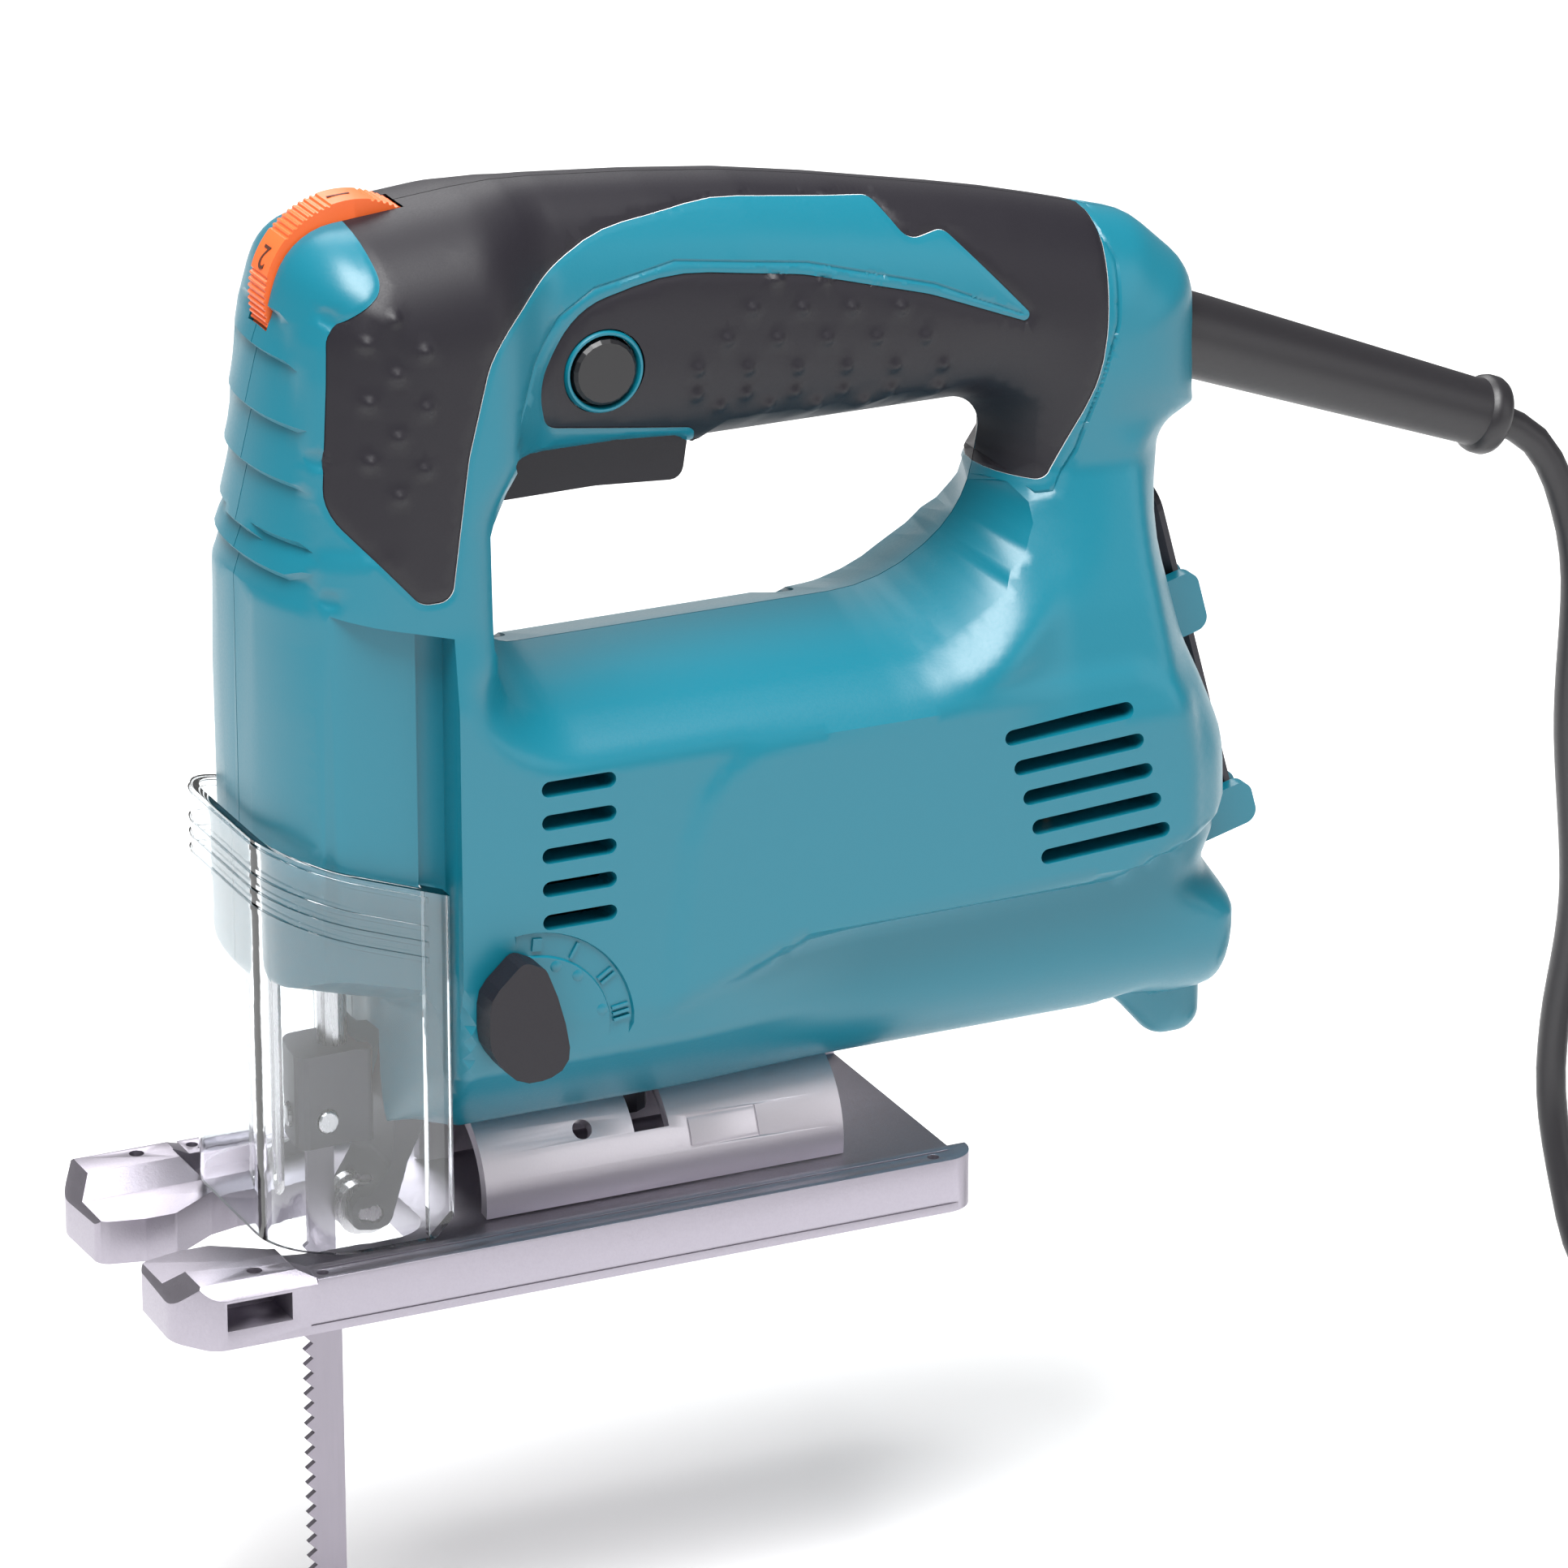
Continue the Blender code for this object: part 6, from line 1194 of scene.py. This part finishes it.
# ---- mains lead ---------------------------------------------------------------------------------
# 6 mm rubber-insulated flex in a PVC guard with a moulded ring at its end. It hangs from the guard
# and is wound up on the floor beside the saw, with the plug next to the coil.
soft_pvc, tree, shader = surface("black_soft_pvc", "#1A181C", 0.42, IOR=1.54)
grain(tree, shader, 0.8, 0.01, rough=(0.36, 0.5))
GUARD_LENGTH = (GUARD_TIP - GUARD_ORIGIN).length
bore = 3.3 * MM
guard = turned(
    [(bore, -11.7 * MM), (7.9 * MM, -11.7 * MM), (7.9 * MM, 0), (6.4 * MM, GUARD_LENGTH - 6 * MM),
     (6.6 * MM, GUARD_LENGTH - 5.2 * MM), (7.3 * MM, GUARD_LENGTH - 4.6 * MM), (
         7.6 * MM, GUARD_LENGTH - 3.6 * MM
     ),
     (7.6 * MM, GUARD_LENGTH - 1.9 * MM), (7.2 * MM, GUARD_LENGTH - 1 * MM), (
         6.4 * MM, GUARD_LENGTH - 0.5 * MM
     ),
     (5.6 * MM, GUARD_LENGTH), (bore + 0.6 * MM, GUARD_LENGTH), (bore, GUARD_LENGTH - 0.6 * MM)],
    GUARD_ORIGIN, GUARD_AXIS, soft_pvc, "flex_guard", 64,
)
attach(guard, "housing")
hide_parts("cord_guard")
keep("cord_clamp", black_nylon, 0.4)
LEAD_R = 3 * MM
COIL_X, COIL_Y, TURN_R = 272 * MM, -15 * MM, (28.7 * MM, 35 * MM, 41.3 * MM)
LAYER_Z = (-74.85 * MM, -68.55 * MM, -62.25 * MM)


def smooth(knots, spacing):
    """Points at an even spacing along a Catmull-Rom curve through the knots."""
    ends = [2 * Vector(knots[0]) - Vector(knots[1])] + [Vector(k) for k in knots]
    ends.append(2 * Vector(knots[-1]) - Vector(knots[-2]))
    dense = []
    for a, b, c, d in zip(ends, ends[1:], ends[2:], ends[3:]):
        for k in range(30):
            t = k / 30
            square, cube = 2 * a - 5 * b + 4 * c - d, 3 * b - a - 3 * c + d
            dense.append(0.5 * (2 * b + (c - a) * t + square * t * t + cube * t**3))
    dense.append(ends[-2])
    lengths = np.cumsum([0.0] + [(q - p).length for p, q in zip(dense, dense[1:])])
    table = np.array([tuple(p) for p in dense])
    wanted = np.linspace(0, lengths[-1], max(2, round(lengths[-1] / spacing) + 1))
    return [Vector([np.interp(s, lengths, table[:, i]) for i in range(3)]) for s in wanted]


hang = [
    (211, -1, 119),
    (216, -2, 108.5),
    (219, -3, 92),
    (221.5, 2, 60),
    (229.9, 12, 20),
    (230.7, 19, -10),
    (230.7, 19, -28),
    (230.7, 11, -47.25),
    (230.7, 6, -54.1),
    (230.7, -3, -60),
]
hang = [GUARD_TIP, GUARD_TIP + GUARD_AXIS * 2 * MM] + [Vector(p) * MM for p in hang]
turns = ((3, 2), (3, 1), (2, 1), (1, 1), (1, 0), (2, 0), (3, 0))
changes = (314, 638, 998, 1322, 1646, 2006)
coil = []
for phi in range(0, 2251, 9):
    column, layer = TURN_R[turns[0][0] - 1], LAYER_Z[turns[0][1]]
    for start, (new_column, new_layer) in zip(changes, turns[1:]):
        moved = float(ease((phi - start) / 36))
        column = lerp(column, TURN_R[new_column - 1], moved)
        layer = lerp(layer, LAYER_Z[new_layer], moved)
    angle = math.radians(180 + phi)
    coil.append(
        Vector((COIL_X + column * math.cos(angle), COIL_Y + column * math.sin(angle), layer))
    )
PLUG_X, PLUG_Z = 336.45 * MM, -65 * MM
low = LAYER_Z[0]
end = coil[-1]
away = [(COIL_X + 12 * MM, end.y, low), (COIL_X + 36.5 * MM, end.y, low), (COIL_X + 50.5 * MM, end.y + 3.8 * MM, low + 0.5 * MM),
        (PLUG_X - 3.8 * MM, end.y + 14 * MM, low + 2.5 * MM), (
            PLUG_X, end.y + 28 * MM, PLUG_Z - 1 * MM
        ),
        (PLUG_X, COIL_Y - 5 * MM, PLUG_Z), (PLUG_X, COIL_Y + 1 * MM, PLUG_Z)]
route = smooth(hang + [coil[0]], 5 * MM) + coil[1:] + smooth(
    [end] + [Vector(p) for p in away], 5 * MM
)[1:]
line = bpy.data.curves.new("mains_lead", "CURVE")
line.dimensions = "3D"
line.bevel_depth = LEAD_R
line.bevel_resolution = 6
line.use_fill_caps = True
spline = line.splines.new("POLY")
spline.points.add(len(route) - 1)
for target, point in zip(spline.points, route):
    target.co = (*point, 1.0)
line.materials.append(soft_pvc)
lead = bpy.data.objects.new("mains_lead", line)
scene.collection.objects.link(lead)
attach(lead, "housing")
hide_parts("cord_tube", "cord_coil", "cord_tail")
PLUG_R, PLUG_LENGTH = 13 * MM, 46 * MM
plug = turned(
    [(3.2 * MM, 0), (4.5 * MM, 0), (6 * MM, 10 * MM), (8.5 * MM, 13.5 * MM), (11.6 * MM, 17.5 * MM), (PLUG_R, 21 * MM),
     (PLUG_R, PLUG_LENGTH - 0.8 * MM), (PLUG_R - 0.8 * MM, PLUG_LENGTH), (0, PLUG_LENGTH), (0, 1.2 * MM), (3.2 * MM, 1.2 * MM)],
    (PLUG_X, COIL_Y, PLUG_Z), Y_AXIS, black_nylon, "mains_plug", 64,
)
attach(plug, "housing")
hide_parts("plug")
for side in (-1, 1):
    pin = turned(
        in_mm([(0, 0), (2.4, 0), (2.4, 18), (1.6, 19), (0, 19)]),
        (
            PLUG_X + side * 9.5 * MM, COIL_Y + PLUG_LENGTH - 0.2 * MM, PLUG_Z
        ), Y_AXIS, ground_steel, f"plug_pin_{side}", 24,
    )
    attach(pin, "housing")
